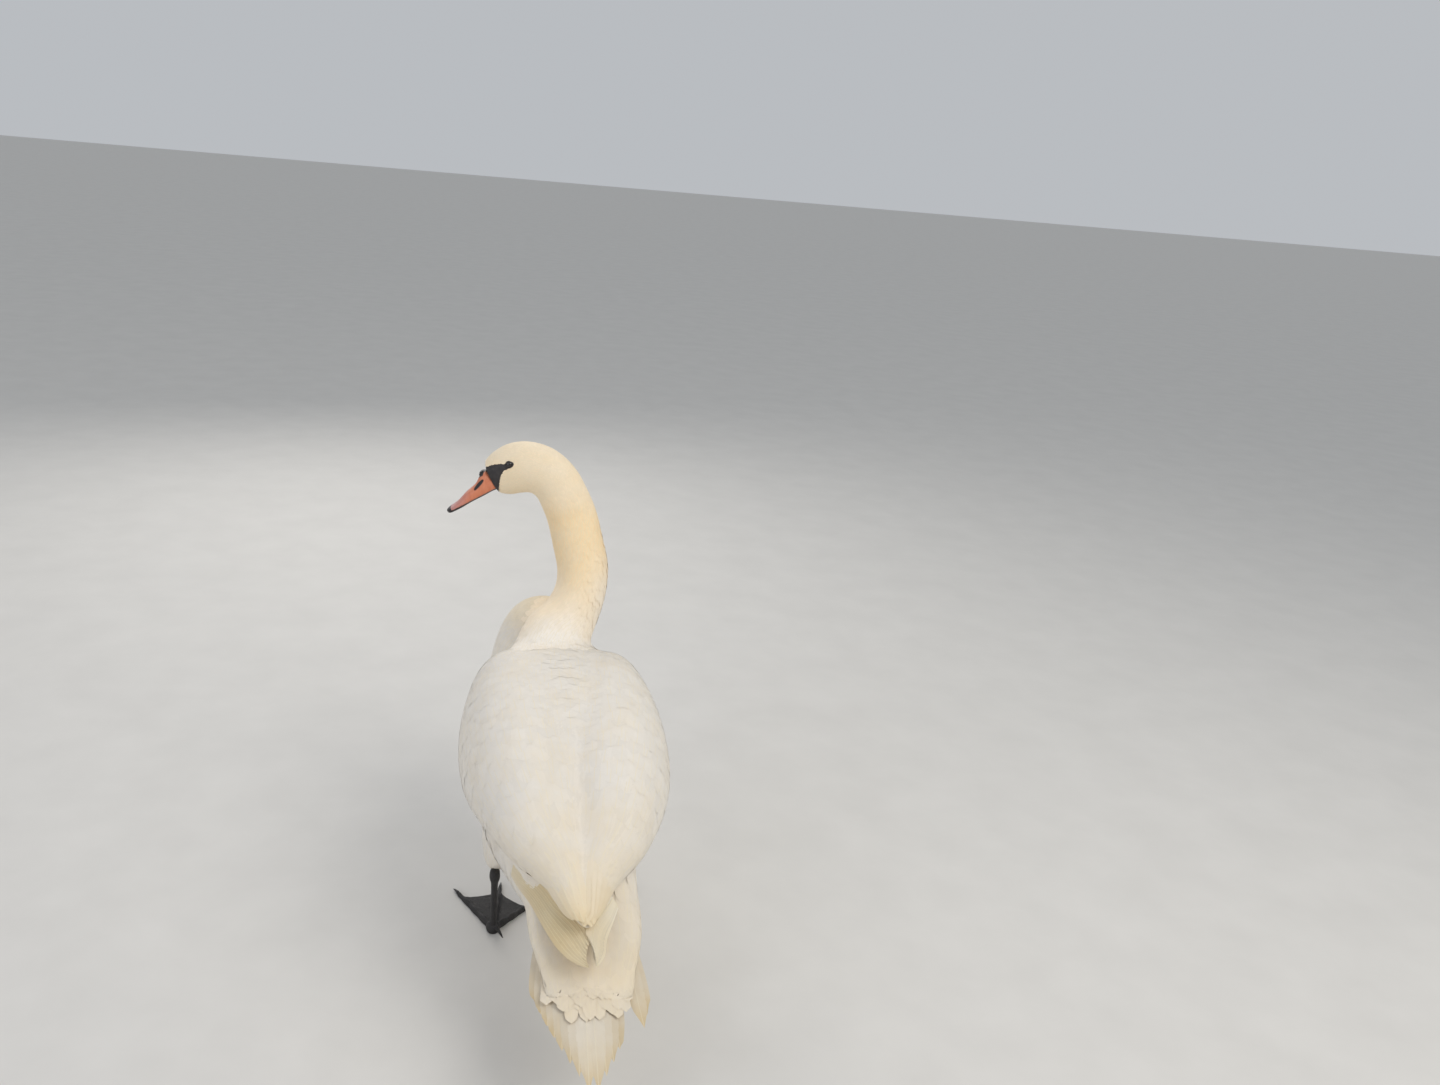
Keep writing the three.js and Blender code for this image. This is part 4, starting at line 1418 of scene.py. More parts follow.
@dataclass
class Tail:
    """One side of the tail fan; place counts outwards from the middle pair, which is 1."""

    side: Side
    root: Triple = (-24.0, 222.0, 194.0)
    slope: float = -13.0  # degrees below level
    pairs: int = 8
    row_width: float = 46.0
    fan: float = 8.0
    longest: float = 260.0
    shortest: float = 124.0
    feather: float = 30.0
    arch: float = 12.0
    rise: float = 2.4  # of the middle pair over the root
    sag: float = 2.5
    layer: float = 0.7
    rows: int = 36
    # Two feathers of the right side are worn short, and those outside them stand a little apart.
    worn: tuple[int, int] = (5, 6)
    shorter: float = 0.8
    outer_longer: float = 1.16
    outer_turn: float = 1.0
    outer_shift: float = 5.0

    def quill(self, place: int, rng: Random) -> Quill:
        """One feather of the fan."""
        hand = self.side.value
        out = (place - 0.5) / (self.pairs - 0.5)
        right = self.side is Side.RIGHT
        worn = right and self.worn[0] <= place <= self.worn[1]
        apart = right and place > self.worn[1]
        share = self.outer_longer if apart else self.shorter if worn else 1.0
        length = (self.longest + (self.shortest - self.longest) * out) * share
        turn = -hand * math.radians(out * self.fan + (self.outer_turn if apart else 0.0))
        slope = math.radians(self.slope)
        tilt = Matrix.Rotation(slope, 3, "X")
        aside = hand * (out * self.row_width + (self.outer_shift if apart else 0.0))
        start = Vector((aside, 0.0, self.rise - self.arch * out**1.5 - self.layer * place))
        aim = Vector((-math.sin(turn), math.cos(turn), 0.0))
        # The vane stays level across near the middle and rolls down towards the outer feathers.
        roll = -hand * math.radians(2 + 14 * out)
        across = Vector((hand * math.cos(roll), 0.0, -abs(math.sin(roll))))
        u = np.linspace(0, 1, self.rows)
        line = np.array([(tilt @ (start + aim * (length * k)))[:] for k in u]) + np.array(self.root)
        line[:, 2] -= self.sag * u**2
        across_line = np.tile(np.array((tilt @ across)[:]), (self.rows, 1))
        out_line = unit(np.cross(across_line, np.array((tilt @ aim)[:])) * hand)
        out_line *= np.sign(out_line[:, 2:3])
        return Quill(line, across_line, out_line, self.feather * 0.4, self.feather * 0.46,
                     taper=(0.5, 0.85, 1.0, 1.0, 0.85, 0.35), tip=22 if place < 4 or apart else 12,
                     ragged=9.0 if worn else 3.0, tone=float(rng.uniform(0.1, 1.0)),
                     cream=tuple(np.array((0.1, 0.1, 0.1, 0.12, 0.3, 0.75)) + 0.25 * out))

    def build(self, rng: Random) -> list[Piece]:
        """Makes the side's feathers."""
        quills = [self.quill(place, rng) for place in range(1, self.pairs + 1)]
        node = f"tail_{self.side.word}"
        return [quill_vanes(quills, rng).piece(f"{node}_vanes", TAIL_QUILLS, Slot.WHITE_QUILLS, node)]


@dataclass
class Tertials:
    """The long innermost feathers, stacked on the rear of a folded wing so that they form its tip."""

    side: Side
    around: Knots = (84.0, 62.0, 40.0, 20.0, 2.0, -14.0)  # degrees off the top, outwards
    start: float = 0.64  # where along the wing the roots lie
    rows: int = 32
    width: float = 25.0

    def build(self, rng: Random) -> list[Piece]:
        """Makes the stack."""
        loft = WINGS[self.side]
        quills = []
        for number, off in enumerate(self.around):
            a = math.radians(off) * self.side.value
            t = np.linspace(self.start, 0.997 - 0.0004 * abs(off), self.rows)
            tangent, side, dorsal = loft.axes(t)
            sizes = along(loft.table[:, 3:6], t)
            share = np.linspace(0, 1, self.rows)[:, None]
            out = unit(dorsal * math.cos(a) + side * math.sin(a))
            foot = dorsal * (sizes[:, 1:2] * math.cos(a)) + side * (sizes[:, 0:1] * math.sin(a))
            close = np.sqrt(1 - np.clip(1 - (1 - t[:, None]) / loft.blunt[1], 0, 1) ** 2)
            line = loft.centre(t) + foot * close + out * (0.8 + 0.4 * number - 10 * (1 - share) ** 1.5)
            across = unit(np.cross(out, tangent) * self.side.value)
            quills.append(Quill(line, across, out, self.width * 0.5, self.width * 0.5, tip=18, ragged=1.5,
                                shaft=1.0, camber=4.0, tone=float(rng.uniform(0.6, 1.0)),
                                cream=(0.3, 0.3, 0.3, 0.35, 0.5, 0.8)))
        return [quill_vanes(quills, rng).piece(f"tertials_{self.side.word}", PLUMAGE, Slot.WHITE_QUILLS)]


@dataclass
class TailCoverts:
    """The white coverts that lead from the rump over the roots of the tail."""

    tail: Tail = field(default_factory=lambda: Tail(Side.LEFT))
    ranks: int = 5
    count: int = 14  # feathers in a rank
    rows: int = 20
    last_root: float = 318.0  # how far back the roots of the hindmost rank lie
    rank_step: float = 10.0
    reach: float = 46.0  # from the middle to the outermost root
    length: Pair = (40.0, 72.0)
    half: Pair = (8.5, 9.0)  # half widths towards the middle line and away from it
    layer: float = 0.3

    def level(self, x: Array, y: Array) -> Array:
        """Height of the tail's upper side."""
        tail = self.tail
        back = y - tail.root[1]
        out = np.abs(x - tail.root[0]) / (tail.row_width + math.tan(math.radians(tail.fan)) * back)
        drop = tail.arch * out**1.5 + tail.sag * (back / tail.longest) ** 2
        return tail.root[2] + tail.rise + math.tan(math.radians(tail.slope)) * back - drop

    def build(self, rng: Random) -> list[Piece]:
        """Makes the ranks, the hindmost and lowest one first."""
        quills = []
        for rank in range(self.ranks):
            count = self.count - rank % 2
            for number in range(count):
                share = (2 * number - count + 1) / (self.count - 1)
                turn = math.radians(share * 5 + rng.normal(0, 2))
                s = np.linspace(0, rng.uniform(*self.length) * (1 - 0.4 * share**2), self.rows)
                x = self.tail.root[0] + share * (self.reach - 2 * rank) + s * math.sin(turn)
                y = self.last_root - self.rank_step * rank + rng.normal(0, 3) + s * math.cos(turn)
                rise = 1.0 + self.layer * rank + rng.uniform(-0.15, 0.15) - 5 * (1 - s / s[-1]) ** 2
                line = np.stack([x, y, self.level(x, y) + rise], 1)
                tilt = self.level(x - 1, y) - self.level(x + 1, y)
                fall = self.level(x, y - 1) - self.level(x, y + 1)
                out = unit(np.stack([tilt / 2, fall / 2, np.ones(self.rows)], 1))
                across = unit(np.cross(np.gradient(line, axis=0), out)) * (1 if share >= 0 else -1)
                quills.append(Quill(line, across, out, *self.half, taper=(0.6, 1.0, 1.0, 1.0, 0.95, 0.6),
                                    tip=6, ragged=1.5, shaft=0.3, thickness=0.12, camber=0.4,
                                    tone=float(rng.uniform(0.2, 0.8)), cream=(0.4, 0.4, 0.4, 0.35)))
        return [quill_vanes(quills, rng).piece("tail_coverts", PLUMAGE, Slot.WHITE_PLUMAGE)]


# ------------ skin, eyes and lids


class Rest(Enum):
    """What a ring of the lids rests on."""

    BALL = 1
    BETWEEN = 2
    HEAD = 3


@dataclass(frozen=True)
class Eye:
    """An eyeball with its lids, placed in the head's own plane."""

    side: Side
    forward: float = -3.3
    up: float = 4.2
    aside: float = 20.6
    radius: float = 6.8
    opening: Pair = (5.2, 3.7)  # half length and half height of the gap between the lids
    tilt: float = -21.0  # degrees, the front corner low

    @property
    def centre(self) -> Array:
        """The middle of the ball."""
        return HEAD.point(self.forward, self.up, self.aside * self.side.value)

    def clear_of(self, points: Array) -> Array:
        """How far points lie outside the ring of bare skin round this eye."""
        place = HEAD.parts(points)
        away = place[..., 0:2] - (self.forward, self.up)
        a = math.radians(self.tilt)
        ring = away @ np.array([[math.cos(a), -math.sin(a)], [math.sin(a), math.cos(a)]])
        gap = np.linalg.norm(ring / (self.opening[0] + 1.6, self.opening[1] + 1.0), axis=-1) - 1
        return np.where(place[..., 2] * self.side.value > 8, gap, 1.0)

    def build(self, form: Form) -> list[Piece]:
        """Makes the ball, with its pole towards the pupil, and its lids."""
        bm = bmesh.new()
        bmesh.ops.create_uvsphere(bm, u_segments=48, v_segments=32, radius=self.radius)
        aim = Vector(HEAD.direction(0.12, 0.0, self.side.value)).normalized()
        turn = Vector((0, 0, 1)).rotation_difference(aim).to_matrix()
        points = np.array([(turn @ v.co)[:] for v in bm.verts]) + self.centre
        faces = finished(bm)[1]
        off = np.degrees(np.arccos(np.clip(unit(points - self.centre) @ np.array(aim), -1, 1)))
        ball = mesh_object(f"eyeball_{self.side.word}", points, faces, values={"off": off})
        return [present(ball, CORNEA, Slot.EYE, f"eye_{self.side.word}"), self.lids(form)]

    def lids(self, form: Form) -> Piece:
        """Makes the ring of bare skin that holds the ball."""
        around = 72
        phi = np.arange(around) * 2 * np.pi / around
        a = math.radians(self.tilt)
        # How far out each ring of the lid lies, as a share of the opening, and how high it stands.
        ball, mix, head = Rest
        profile = ((0.98, ball, -1.2), (0.99, ball, 0.5), (1.06, ball, 1.0), (1.18, mix, 0.9),
                   (1.3, head, 0.6), (1.44, head, 0.15), (1.48, head, -1.6), (1.2, head, -3.0))
        points = []
        for share, rest, rise in profile:
            pinch = 1 + 0.1 * np.cos(2 * phi) * (share - 1)
            x = np.cos(phi) * self.opening[0] * share * pinch
            y = np.sin(phi) * self.opening[1] * (share + (share - 1) * 0.1)
            forward = self.forward + x * math.cos(a) - y * math.sin(a)
            up = self.up + x * math.sin(a) + y * math.cos(a)
            r2 = (forward - self.forward) ** 2 + (up - self.up) ** 2
            on_ball = self.aside + np.sqrt(np.maximum(self.radius**2 - r2, 4.0))
            on_head = np.array([form.aside(f, u, self.side) for f, u in zip(forward, up)])
            between = np.maximum(on_head, 0.5 * (on_ball + on_head))
            level = {ball: on_ball, mix: between, head: on_head}[rest] + rise
            points.append([HEAD.point(f, u, s * self.side.value) for f, u, s in zip(forward, up, level)])
        rings = len(profile)
        i, j = (g.ravel() for g in np.meshgrid(np.arange(rings), np.arange(around), indexing="ij"))
        k, n = (j + 1) % around, (i + 1) % rings
        quads = np.stack([i * around + j, i * around + k, n * around + k, n * around + j], 1)
        if self.side is Side.RIGHT:
            quads = quads[:, ::-1]
        values = {"bare": np.ones(rings * around), "cream": np.zeros(rings * around)}
        points = np.array(points).reshape(-1, 3)
        thing = mesh_object(f"eyelids_{self.side.word}", points, [quads], values=values)
        soften = thing.modifiers.new("soften", "SUBSURF")
        soften.levels = soften.render_levels = 1
        return present(thing, SKIN, Slot.BILL_HORN)


EYES = {side: Eye(side) for side in Side}


@dataclass
class Skin:
    """The one skin under the whole coat, fine on the face and coarse elsewhere."""

    fine_from: float = -18.0  # how far back in the head's plane the fine part starts
    fine_reach: float = 75.0  # how far it goes from the middle of the head
    bare_depth: float = 0.9
    tone: float = 0.4

    def build(self, form: Form) -> list[Piece]:
        """Makes the skin by sinking the outer form by the coat's depth."""
        bare = ease((FACE_SKIN.depth(form.points) + 1.0) / 2.5)
        depth = form.depth * (1 - bare) + self.bare_depth * bare
        points = form.points - form.normals * depth[:, None]
        points = self.behind_bill(points)
        bm = editable(points, [form.triangles])
        place = HEAD.parts(points)
        near = (place[:, 0] > self.fine_from) & (np.abs(place).max(1) < self.fine_reach)
        edges = [e for e in bm.edges if near[e.verts[0].index] and near[e.verts[1].index]]
        bmesh.ops.subdivide_edges(bm, edges=edges, cuts=3, use_grid_fill=True)
        bmesh.ops.triangulate(bm, faces=[f for f in bm.faces if len(f.verts) > 3])
        points, (triangles,) = finished(bm)
        fine = np.arange(len(points)) >= len(form.points)
        points = self.behind_bill(Weave(triangles, len(points)).relax(points, np.where(fine, 4, 0)))
        inside = FACE_SKIN.depth(points)
        rings = np.stack([eye.clear_of(points) for eye in EYES.values()]).min(0)
        values = {
            "bare": np.clip(np.maximum(inside / 0.8, -rings * 6) + 0.5, 0, 1),
            "cream": creaminess(points),
            "tone": np.full(len(points), self.tone),
        }
        thing = mesh_object("skin", points, [triangles], values=values)
        nodes = ["head", "neck_upper", "neck_middle", "neck_lower", "neck_base", "breast", "trunk", "rump"]
        nodes += [f"{part}_{side.word}" for part in ("wing", "thigh") for side in Side]
        return [present(thing, SKIN, Slot.WHITE_PLUMAGE, *nodes)]

    @staticmethod
    def behind_bill(points: Array) -> Array:
        """Holds points behind the plane in which the bill starts."""
        over = np.maximum(FACE.beyond(points) + 0.1, 0)
        return points - over[:, None] * FACE.aim


# ------------ bill


@dataclass
class Bill:
    """The bill's plates: orange sides and roof, black rim, nail, lower half and knob."""

    rings: int = 190
    around: int = 150
    nostril: tuple[Pair, Pair] = ((38.6, -28.0), (50.8, -44.5))
    nostril_half: float = 2.6
    nostril_depth: float = 1.3
    rim: float = 1.3  # height of the black cutting edge
    gap: float = 0.25
    nail_gap: float = 0.05
    knob_at: Pair = (37.5, -23.0)
    knob_half: Triple = (9.5, 9.0, 8.5)  # out, across, along the bill
    knob_tilt: float = 38.0

    def nostril_gap(self, points: Array) -> Array:
        """How far points lie outside the nostril, seen from the side."""
        gap, share = beside(HEAD.parts(points)[:, 0:2], *np.array(self.nostril))
        return gap - self.nostril_half * (0.55 + 0.9 * np.sqrt(share * (1.02 - share)))

    def knob_gap(self, points: Array) -> Array:
        """How far points lie from the knob, in shares of its size."""
        place = HEAD.parts(points)
        a = math.radians(self.knob_tilt)
        ahead, above = place[:, 0] - self.knob_at[0], place[:, 1] - self.knob_at[1]
        x = ahead * math.cos(a) + above * math.sin(a)
        z = above * math.cos(a) - ahead * math.sin(a)
        half = self.knob_half
        return np.sqrt((x / half[0]) ** 2 + (place[:, 2] / half[1]) ** 2 + (z / half[2]) ** 2) - 1

    def plate(self, node: str, cuts: Sequence[tuple[Cut, bool, float]], finish: Finish,
              slot: Slot) -> Piece:
        """Cuts one plate out of the whole bill.

        Args:
            node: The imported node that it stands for.
            cuts: Planes, whether the part beyond each is kept, and how far it stands clear.
            finish: What its surface is.
            slot: The record's material slot.

        Returns:
            The object.
        """
        points, faces = BILL.shell(self.rings, self.around)
        place = HEAD.parts(points)
        hollow = ease(-self.nostril_gap(points) / 1.6 + 0.3) * ease((np.abs(place[:, 2]) - 2) / 3)
        middle = BILL.centre(np.linspace(0, 1, 400))
        nearest = middle[np.argmin(((points[:, None] - middle[None, ::8]) ** 2).sum(2), 1) * 8]
        inward = unit(nearest - points)
        # A low swelling runs along each side above the cutting edge, and the roof is a little flat.
        edge = MOUTH.beyond(points)
        swell = 0.5 * np.exp(-(((edge + 3.2) / 1.6) ** 2)) - 0.35 * np.exp(-(((edge + 0.6) / 0.8) ** 2))
        sunk = hollow * self.nostril_depth - swell * (self.nostril_gap(points) > 1)
        bm = editable(points + inward * sunk[:, None], faces)
        for cut, keep_beyond, clear in cuts:
            aim = cut.aim if keep_beyond else -cut.aim
            whole = bm.verts[:] + bm.edges[:] + bm.faces[:]
            made = bmesh.ops.bisect_plane(
                bm, geom=whole, plane_co=cut.point + aim * clear, plane_no=-aim, clear_outer=True
            )
            rim = [e for e in made["geom_cut"] if isinstance(e, bmesh.types.BMEdge)]
            bmesh.ops.contextual_create(bm, geom=rim)
        bmesh.ops.triangulate(bm, faces=[f for f in bm.faces if len(f.verts) > 4])
        bmesh.ops.recalc_face_normals(bm, faces=bm.faces[:])
        points, faces = finished(bm)
        place = HEAD.parts(points)
        wave = 0.35 * np.sin(place[:, 0] * 0.9) + 0.25 * np.sin(place[:, 0] * 2.3 + 1)
        black = np.maximum(0.5 - self.nostril_gap(points), 0.9 - (self.knob_gap(points) * 9 - 1.6 + wave))
        black = np.maximum(black, self.rim + MOUTH.beyond(points) + 0.3 + 0.4 * wave)
        values = {"black": np.clip(black, 0, 1), "reach": np.clip((place[:, 0] - 30) / 60, 0, 1)}
        thing = mesh_object(f"{node}_plate", points, faces, values=values)
        thing.modifiers.new("edges", "WEIGHTED_NORMAL").keep_sharp = True
        return present(thing, finish, slot, node)

    def knob(self, rng: Random) -> Piece:
        """Makes the knob at the bill's root, a little uneven as soft skin is."""
        bm = bmesh.new()
        bmesh.ops.create_icosphere(bm, subdivisions=5, radius=1.0)
        ball, faces = finished(bm)
        bumps = sum(0.012 * np.sin(ball @ rng.normal(0, 5, 3) + rng.uniform(0, 6)) for _ in range(5))
        ball = ball * (1 + bumps)[:, None]
        a = math.radians(self.knob_tilt)
        out, along_bill = HEAD.direction(math.cos(a), math.sin(a)), HEAD.direction(-math.sin(a), math.cos(a))
        points = (ball * self.knob_half) @ np.stack([out, HEAD.left, along_bill])
        thing = mesh_object("bill_knob_skin", points + HEAD.point(*self.knob_at), faces)
        return present(thing, BLACK_HORN, Slot.BLACK_HORN, "bill_knob")

    def build(self, rng: Random) -> list[Piece]:
        """Makes all the bill's pieces."""
        face, nail = (FACE, True, 0.0), (NAIL, False, self.nail_gap)
        upper, lower = (MOUTH, False, self.gap), (MOUTH, True, self.gap)
        return [
            self.plate("bill_upper", (face, upper, nail), BILL_HORN, Slot.BILL_HORN),
            self.plate("bill_lower", (face, lower, nail), BLACK_HORN, Slot.BLACK_HORN),
            self.plate("bill_nail", ((NAIL, True, self.nail_gap),), BLACK_HORN, Slot.BLACK_HORN),
            self.knob(rng),
        ]


# ------------ legs


@dataclass(frozen=True)
class Toe:
    """A front toe: its direction in degrees from straight ahead, outwards, and its sizes."""

    name: str
    angle: float
    length: float
    width: float
    height: float


@dataclass
class Leg:
    """Shank, webbed foot, hind toe and claws of one side."""

    side: Side
    forward: float = 0.0
    out: float = 85.0
    toes: tuple[Toe, ...] = (
        Toe("inner", -44, 86, 10.5, 9), Toe("middle", -6, 107, 11, 10), Toe("outer", 31, 108, 10.5, 9),
    )
    web_thickness: float = 3.2
    web_reach: float = 0.9
    pad_radius: float = 11.0
    pad_height: float = 15.0
    ankle: Triple = (2.0, 12.0, 109.0)  # out, back and up
    # Share of the height, half width and half depth of each section of the shank, from its top.
    shank_rows: tuple[Triple, ...] = (
        (1.08, 7, 9), (0.94, 8, 10.5), (0.8, 5.4, 7.6), (0.5, 4.9, 6.9), (0.2, 5.1, 7.2), (0, 6.6, 8.4),
    )
    claw_sizes: Triple = (12.5, 3.4, 1.2)  # length, radius and gap
    hind: tuple[float, float, float, float] = (-150.0, 19.0, 3.8, 13.0)  # angle, length, radius, height
    voxel: float = 1.3

    def section(self, angle: float, reach: float, z: float, across: float, up: float, down: float) -> Station:
        """A section of a toe that points so many degrees outwards."""
        x, y, _ = self.aim(angle)
        return Station(x * reach, y * reach, z, across, up, down, (-y, x, 0.0))

    def aim(self, angle: float) -> Array:
        """The direction in which a toe points."""
        a = math.radians(angle)
        return np.array((self.side.value * math.sin(a), -math.cos(a), 0.0))

    def planted(self, points: Array) -> Array:
        """Moves points from the frame of the foot to its place."""
        return points + (self.side.value * self.out, -self.forward, 0.0)

    def toe(self, toe: Toe) -> tuple[Array, list[Array]]:
        """A toe with its knuckles."""
        stations = []
        for number in range(9):
            t = number / 8
            swell = 0.9 + 0.1 * math.cos(number * math.pi)
            high = toe.height * (1 - 0.38 * t) * swell
            wide = toe.width / 2 * (1 - 0.3 * t) * swell
            stations.append(self.section(toe.angle, toe.length * t, high * 0.35, wide, high * 0.65, high))
        points, faces = Loft(stations, (0.06, 0.08)).shell(60, 20)
        points[:, 2] = np.maximum(points[:, 2], 0.0)
        return points, faces

    def shank(self) -> tuple[Array, list[Array]]:
        """The leg from the ankle to the toes, deeper than it is wide."""
        out, back, up = self.ankle
        stations = []
        for t, wide, deep in self.shank_rows:
            height = self.pad_height + (up - self.pad_height) * t
            stations.append(Station(self.side.value * out * t, back * t, height, wide, deep, deep))
        return Loft(stations, (0.08, 0.06)).shell(90, 32)

    def pad(self) -> tuple[Array, list[Array]]:
        """The rounded pad where the toes meet."""
        r, up = self.pad_radius, self.pad_radius * 0.55
        rows = [Station(0, -2 + r * k, up, r, r, r) for k in (-1, -0.3, 0.3, 1)]
        points, faces = Loft(rows, (0.5, 0.5)).shell(24, 24)
        points[:, 2] = np.maximum(points[:, 2], 0.0)
        return points, faces

    def hind_toe(self) -> tuple[Array, list[Array]]:
        """The small hind toe, which hangs clear of the floor."""
        angle, length, radius, height = self.hind
        stations = []
        for t in (0.0, 0.35, 0.7, 1.0):
            reach = self.pad_radius - 4 + (length + 4.8) * t
            thick = radius * (1 - 0.7 * t**1.5)
            stations.append(self.section(angle, reach, height - 7 * t**1.5, thick * 0.8, thick, thick))
        return Loft(stations, (0.1, 0.14)).shell(30, 16)

    def web(self) -> tuple[Array, list[Array]]:
        """The web: a thin sheet from the heel to a hollow front edge between the toes."""
        tips = [self.aim(toe.angle) * toe.length * self.web_reach for toe in self.toes]
        front = []
        for a, b in zip(tips, tips[1:]):
            middle = (a + b) / 2 * 0.88
            for s in np.linspace(0, 1, 15)[(1 if front else 0) :]:
                front.append(a * (1 - s) ** 2 + middle * 2 * s * (1 - s) + b * s**2)
        front = np.array(front)
        heel = np.array((0.0, self.pad_radius * 0.3, 0.0))
        rows = np.linspace(0.02, 1, 26)[:, None, None]
        sheet = heel + (front - heel)[None] * rows
        fold = np.sin(np.linspace(0, 4 * np.pi, sheet.shape[1]))[None] ** 2
        crease = 0.35 * np.sin(rows[..., 0] * 60) * fold
        top = sheet.copy()
        top[..., 2] += self.web_thickness - 0.6 * fold * rows[..., 0] + crease
        count = sheet.shape[0] * sheet.shape[1]
        grid = np.arange(count).reshape(sheet.shape[:2])
        loop = np.concatenate([grid[0], grid[1:, -1], grid[-1, -2::-1], grid[-2:0:-1, 0]])
        wall = np.stack([loop, np.roll(loop, -1), np.roll(loop, -1) + count, loop + count], 1)
        faces = [cells(grid.T), cells(grid.T + count)[:, ::-1], wall[:, ::-1]]
        if self.side is Side.RIGHT:
            faces = [table[:, ::-1] for table in faces]
        return np.concatenate([top.reshape(-1, 3), sheet.reshape(-1, 3)]), faces

    def claw(self, toe: Toe) -> Piece:
        """A claw that carries on from a toe's tip and bends down."""
        length, radius, gap = self.claw_sizes
        stations = []
        for t in (0.0, 0.25, 0.5, 0.75, 1.0):
            reach = toe.length + gap - 2.5 + (length + 2.5) * t
            thick = radius * (1 - 0.8 * t)
            rise = radius + (1 + thick - radius) * t**1.4
            stations.append(self.section(toe.angle, reach, rise, thick * 0.8, thick, thick * 0.8))
        points, faces = Loft(stations, (0.1, 0.1)).shell(30, 20)
        points[:, 2] = np.maximum(points[:, 2], 0.1)
        word = f"{self.side.word}_{toe.name}"
        thing = mesh_object(f"claw_horn_{word}", self.planted(points), faces)
        return present(thing, BLACK_HORN, Slot.BLACK_HORN, f"claw_{word}")

    def build(self) -> list[Piece]:
        """Makes the leg's skin and its claws."""
        parts = [self.shank(), self.pad(), self.hind_toe(), self.web(), *(self.toe(toe) for toe in self.toes)]
        points, triangles = fused(parts, self.voxel)
        points = Weave(triangles, len(points)).relax(points, np.full(len(points), 2))
        points[:, 2] = np.where(points[:, 2] < 0.9, np.maximum(points[:, 2], 0.0) * 0.2, points[:, 2])
        word = self.side.word
        thing = mesh_object(f"leg_skin_{word}", self.planted(points), [triangles])
        present(thing, LEG_SKIN, Slot.LEG_SKIN, f"shank_{word}", f"foot_{word}", f"hind_toe_{word}")
        return [thing, *(self.claw(toe) for toe in self.toes)]


# ------------ coat


def nape_ruffle(places: Array) -> Array:
    """How much further tips stand off, in millimetres: only along the back of the lower neck."""
    x, y, z = places[..., 0], places[..., 1], places[..., 2]
    high = ease((z - 385) / 45) * ease((595 - z) / 60)
    return 1.1 * high * ease((-32 - x + 0.25 * (y + 230)) / 26)


def flank_ruffle(places: Array) -> Array:
    """How much further the tips of the flank feathers stand off, in millimetres."""
    low = ease((300 - places[..., 2]) / 90)
    return 0.9 * low * ease((places[..., 1] + 170) / 80) * ease((150 - places[..., 1]) / 80)


def wing_bears(places: Array, normals: Array) -> Array:
    """Where a folded wing bears feathers: not under its rear part, where the blade lies."""
    return (places[..., 1] < 150) | (normals[..., 2] > -0.2)


def tracts() -> list[Tract]:
    """All the fields of small feathers."""
    neck, crop, trunk, *sides = GUIDES
    small = VaneShape(4, 3, point=0.2, thickness=0.12, camber=0.1)
    slim = VaneShape(5, 5, point=0.16, thickness=0.15, camber=0.15)
    body = VaneShape(6, 5, thickness=0.15, camber=0.2)
    long = VaneShape(9, 5, thickness=0.18, camber=0.25)
    found = [
        Tract("head_feathers", neck, small,
              step=(1.9, 2.5, 3.0), gap=(2.1, 2.6, 3.1), length=(7, 10, 13), width=(4.6, 5.8, 6.6),
              span=(0.0, 0.38), sink=4, lift=(0.02, 0.06), depth_share=0.3, tuck=2.0, jitter=0.015,
              finish=HEAD_PLUMAGE, slot=Slot.CREAM_PLUMAGE),
        Tract("neck_feathers", neck, slim,
              step=(3.0, 4.2, 5.2, 6.0), gap=(3.2, 4.6, 5.4, 6.2), length=(12, 18, 26, 34),
              width=(6.4, 9.2, 11.5, 14), span=(0.33, 1.0), sink=5, lift=(0.06, 0.1, 0.15, 0.2),
              ruffle=nape_ruffle, finish=HEAD_PLUMAGE, slot=Slot.CREAM_PLUMAGE),
        Tract("breast_feathers", crop, body,
              step=(6.5, 8, 9.5), gap=(8, 9.5, 11), length=(30, 38, 44), width=(17, 21, 26), sink=8,
              lift=(0.1, 0.15)),
        Tract("body_feathers", trunk, body,
              step=(9, 12, 13, 14, 14, 14, 13), gap=(10, 13, 15, 15, 15, 14, 12),
              length=(36, 46, 50, 54, 60, 74, 92), width=(21, 27, 31, 32, 32, 30, 26),
              lift=(0.06, 0.1, 0.1, 0.05), span=(0.0, 0.92), overhang=0.05, ruffle=flank_ruffle),
    ]
    for side, wing in zip(Side, sides[:2]):
        found.append(Tract(
            f"wing_coverts_{side.word}", wing, long,
            step=(8, 10, 12.5, 15, 18, 21, 24, 24), gap=(9.5, 12.5, 15, 17, 17, 17, 17, 17),
            length=(36, 48, 58, 74, 94, 118, 130, 110), width=(21, 28, 33, 36, 37, 36, 30, 22),
            lift=(0.05, 0.06, 0.08, 0.12), wander=2.5, span=(0.0, 0.82), overhang=-0.3,
            ruffle=flank_ruffle, allow=wing_bears))
    for side, thigh in zip(Side, sides[2:]):
        found.append(Tract(
            f"thigh_feathers_{side.word}", thigh, body, step=(7, 6, 4.5), gap=(8, 7, 5),
            length=(32, 28, 20), width=(15, 12, 8), sink=7, lift=(0.2, 0.4), depth_share=0.8, overhang=0.45))
    return found


# ------------ studio


@dataclass(frozen=True)
class Lamp:
    """A large soft light that aims at the bird."""

    name: str
    place: Triple
    size: float
    watts: float
    tint: str = "#ffffff"


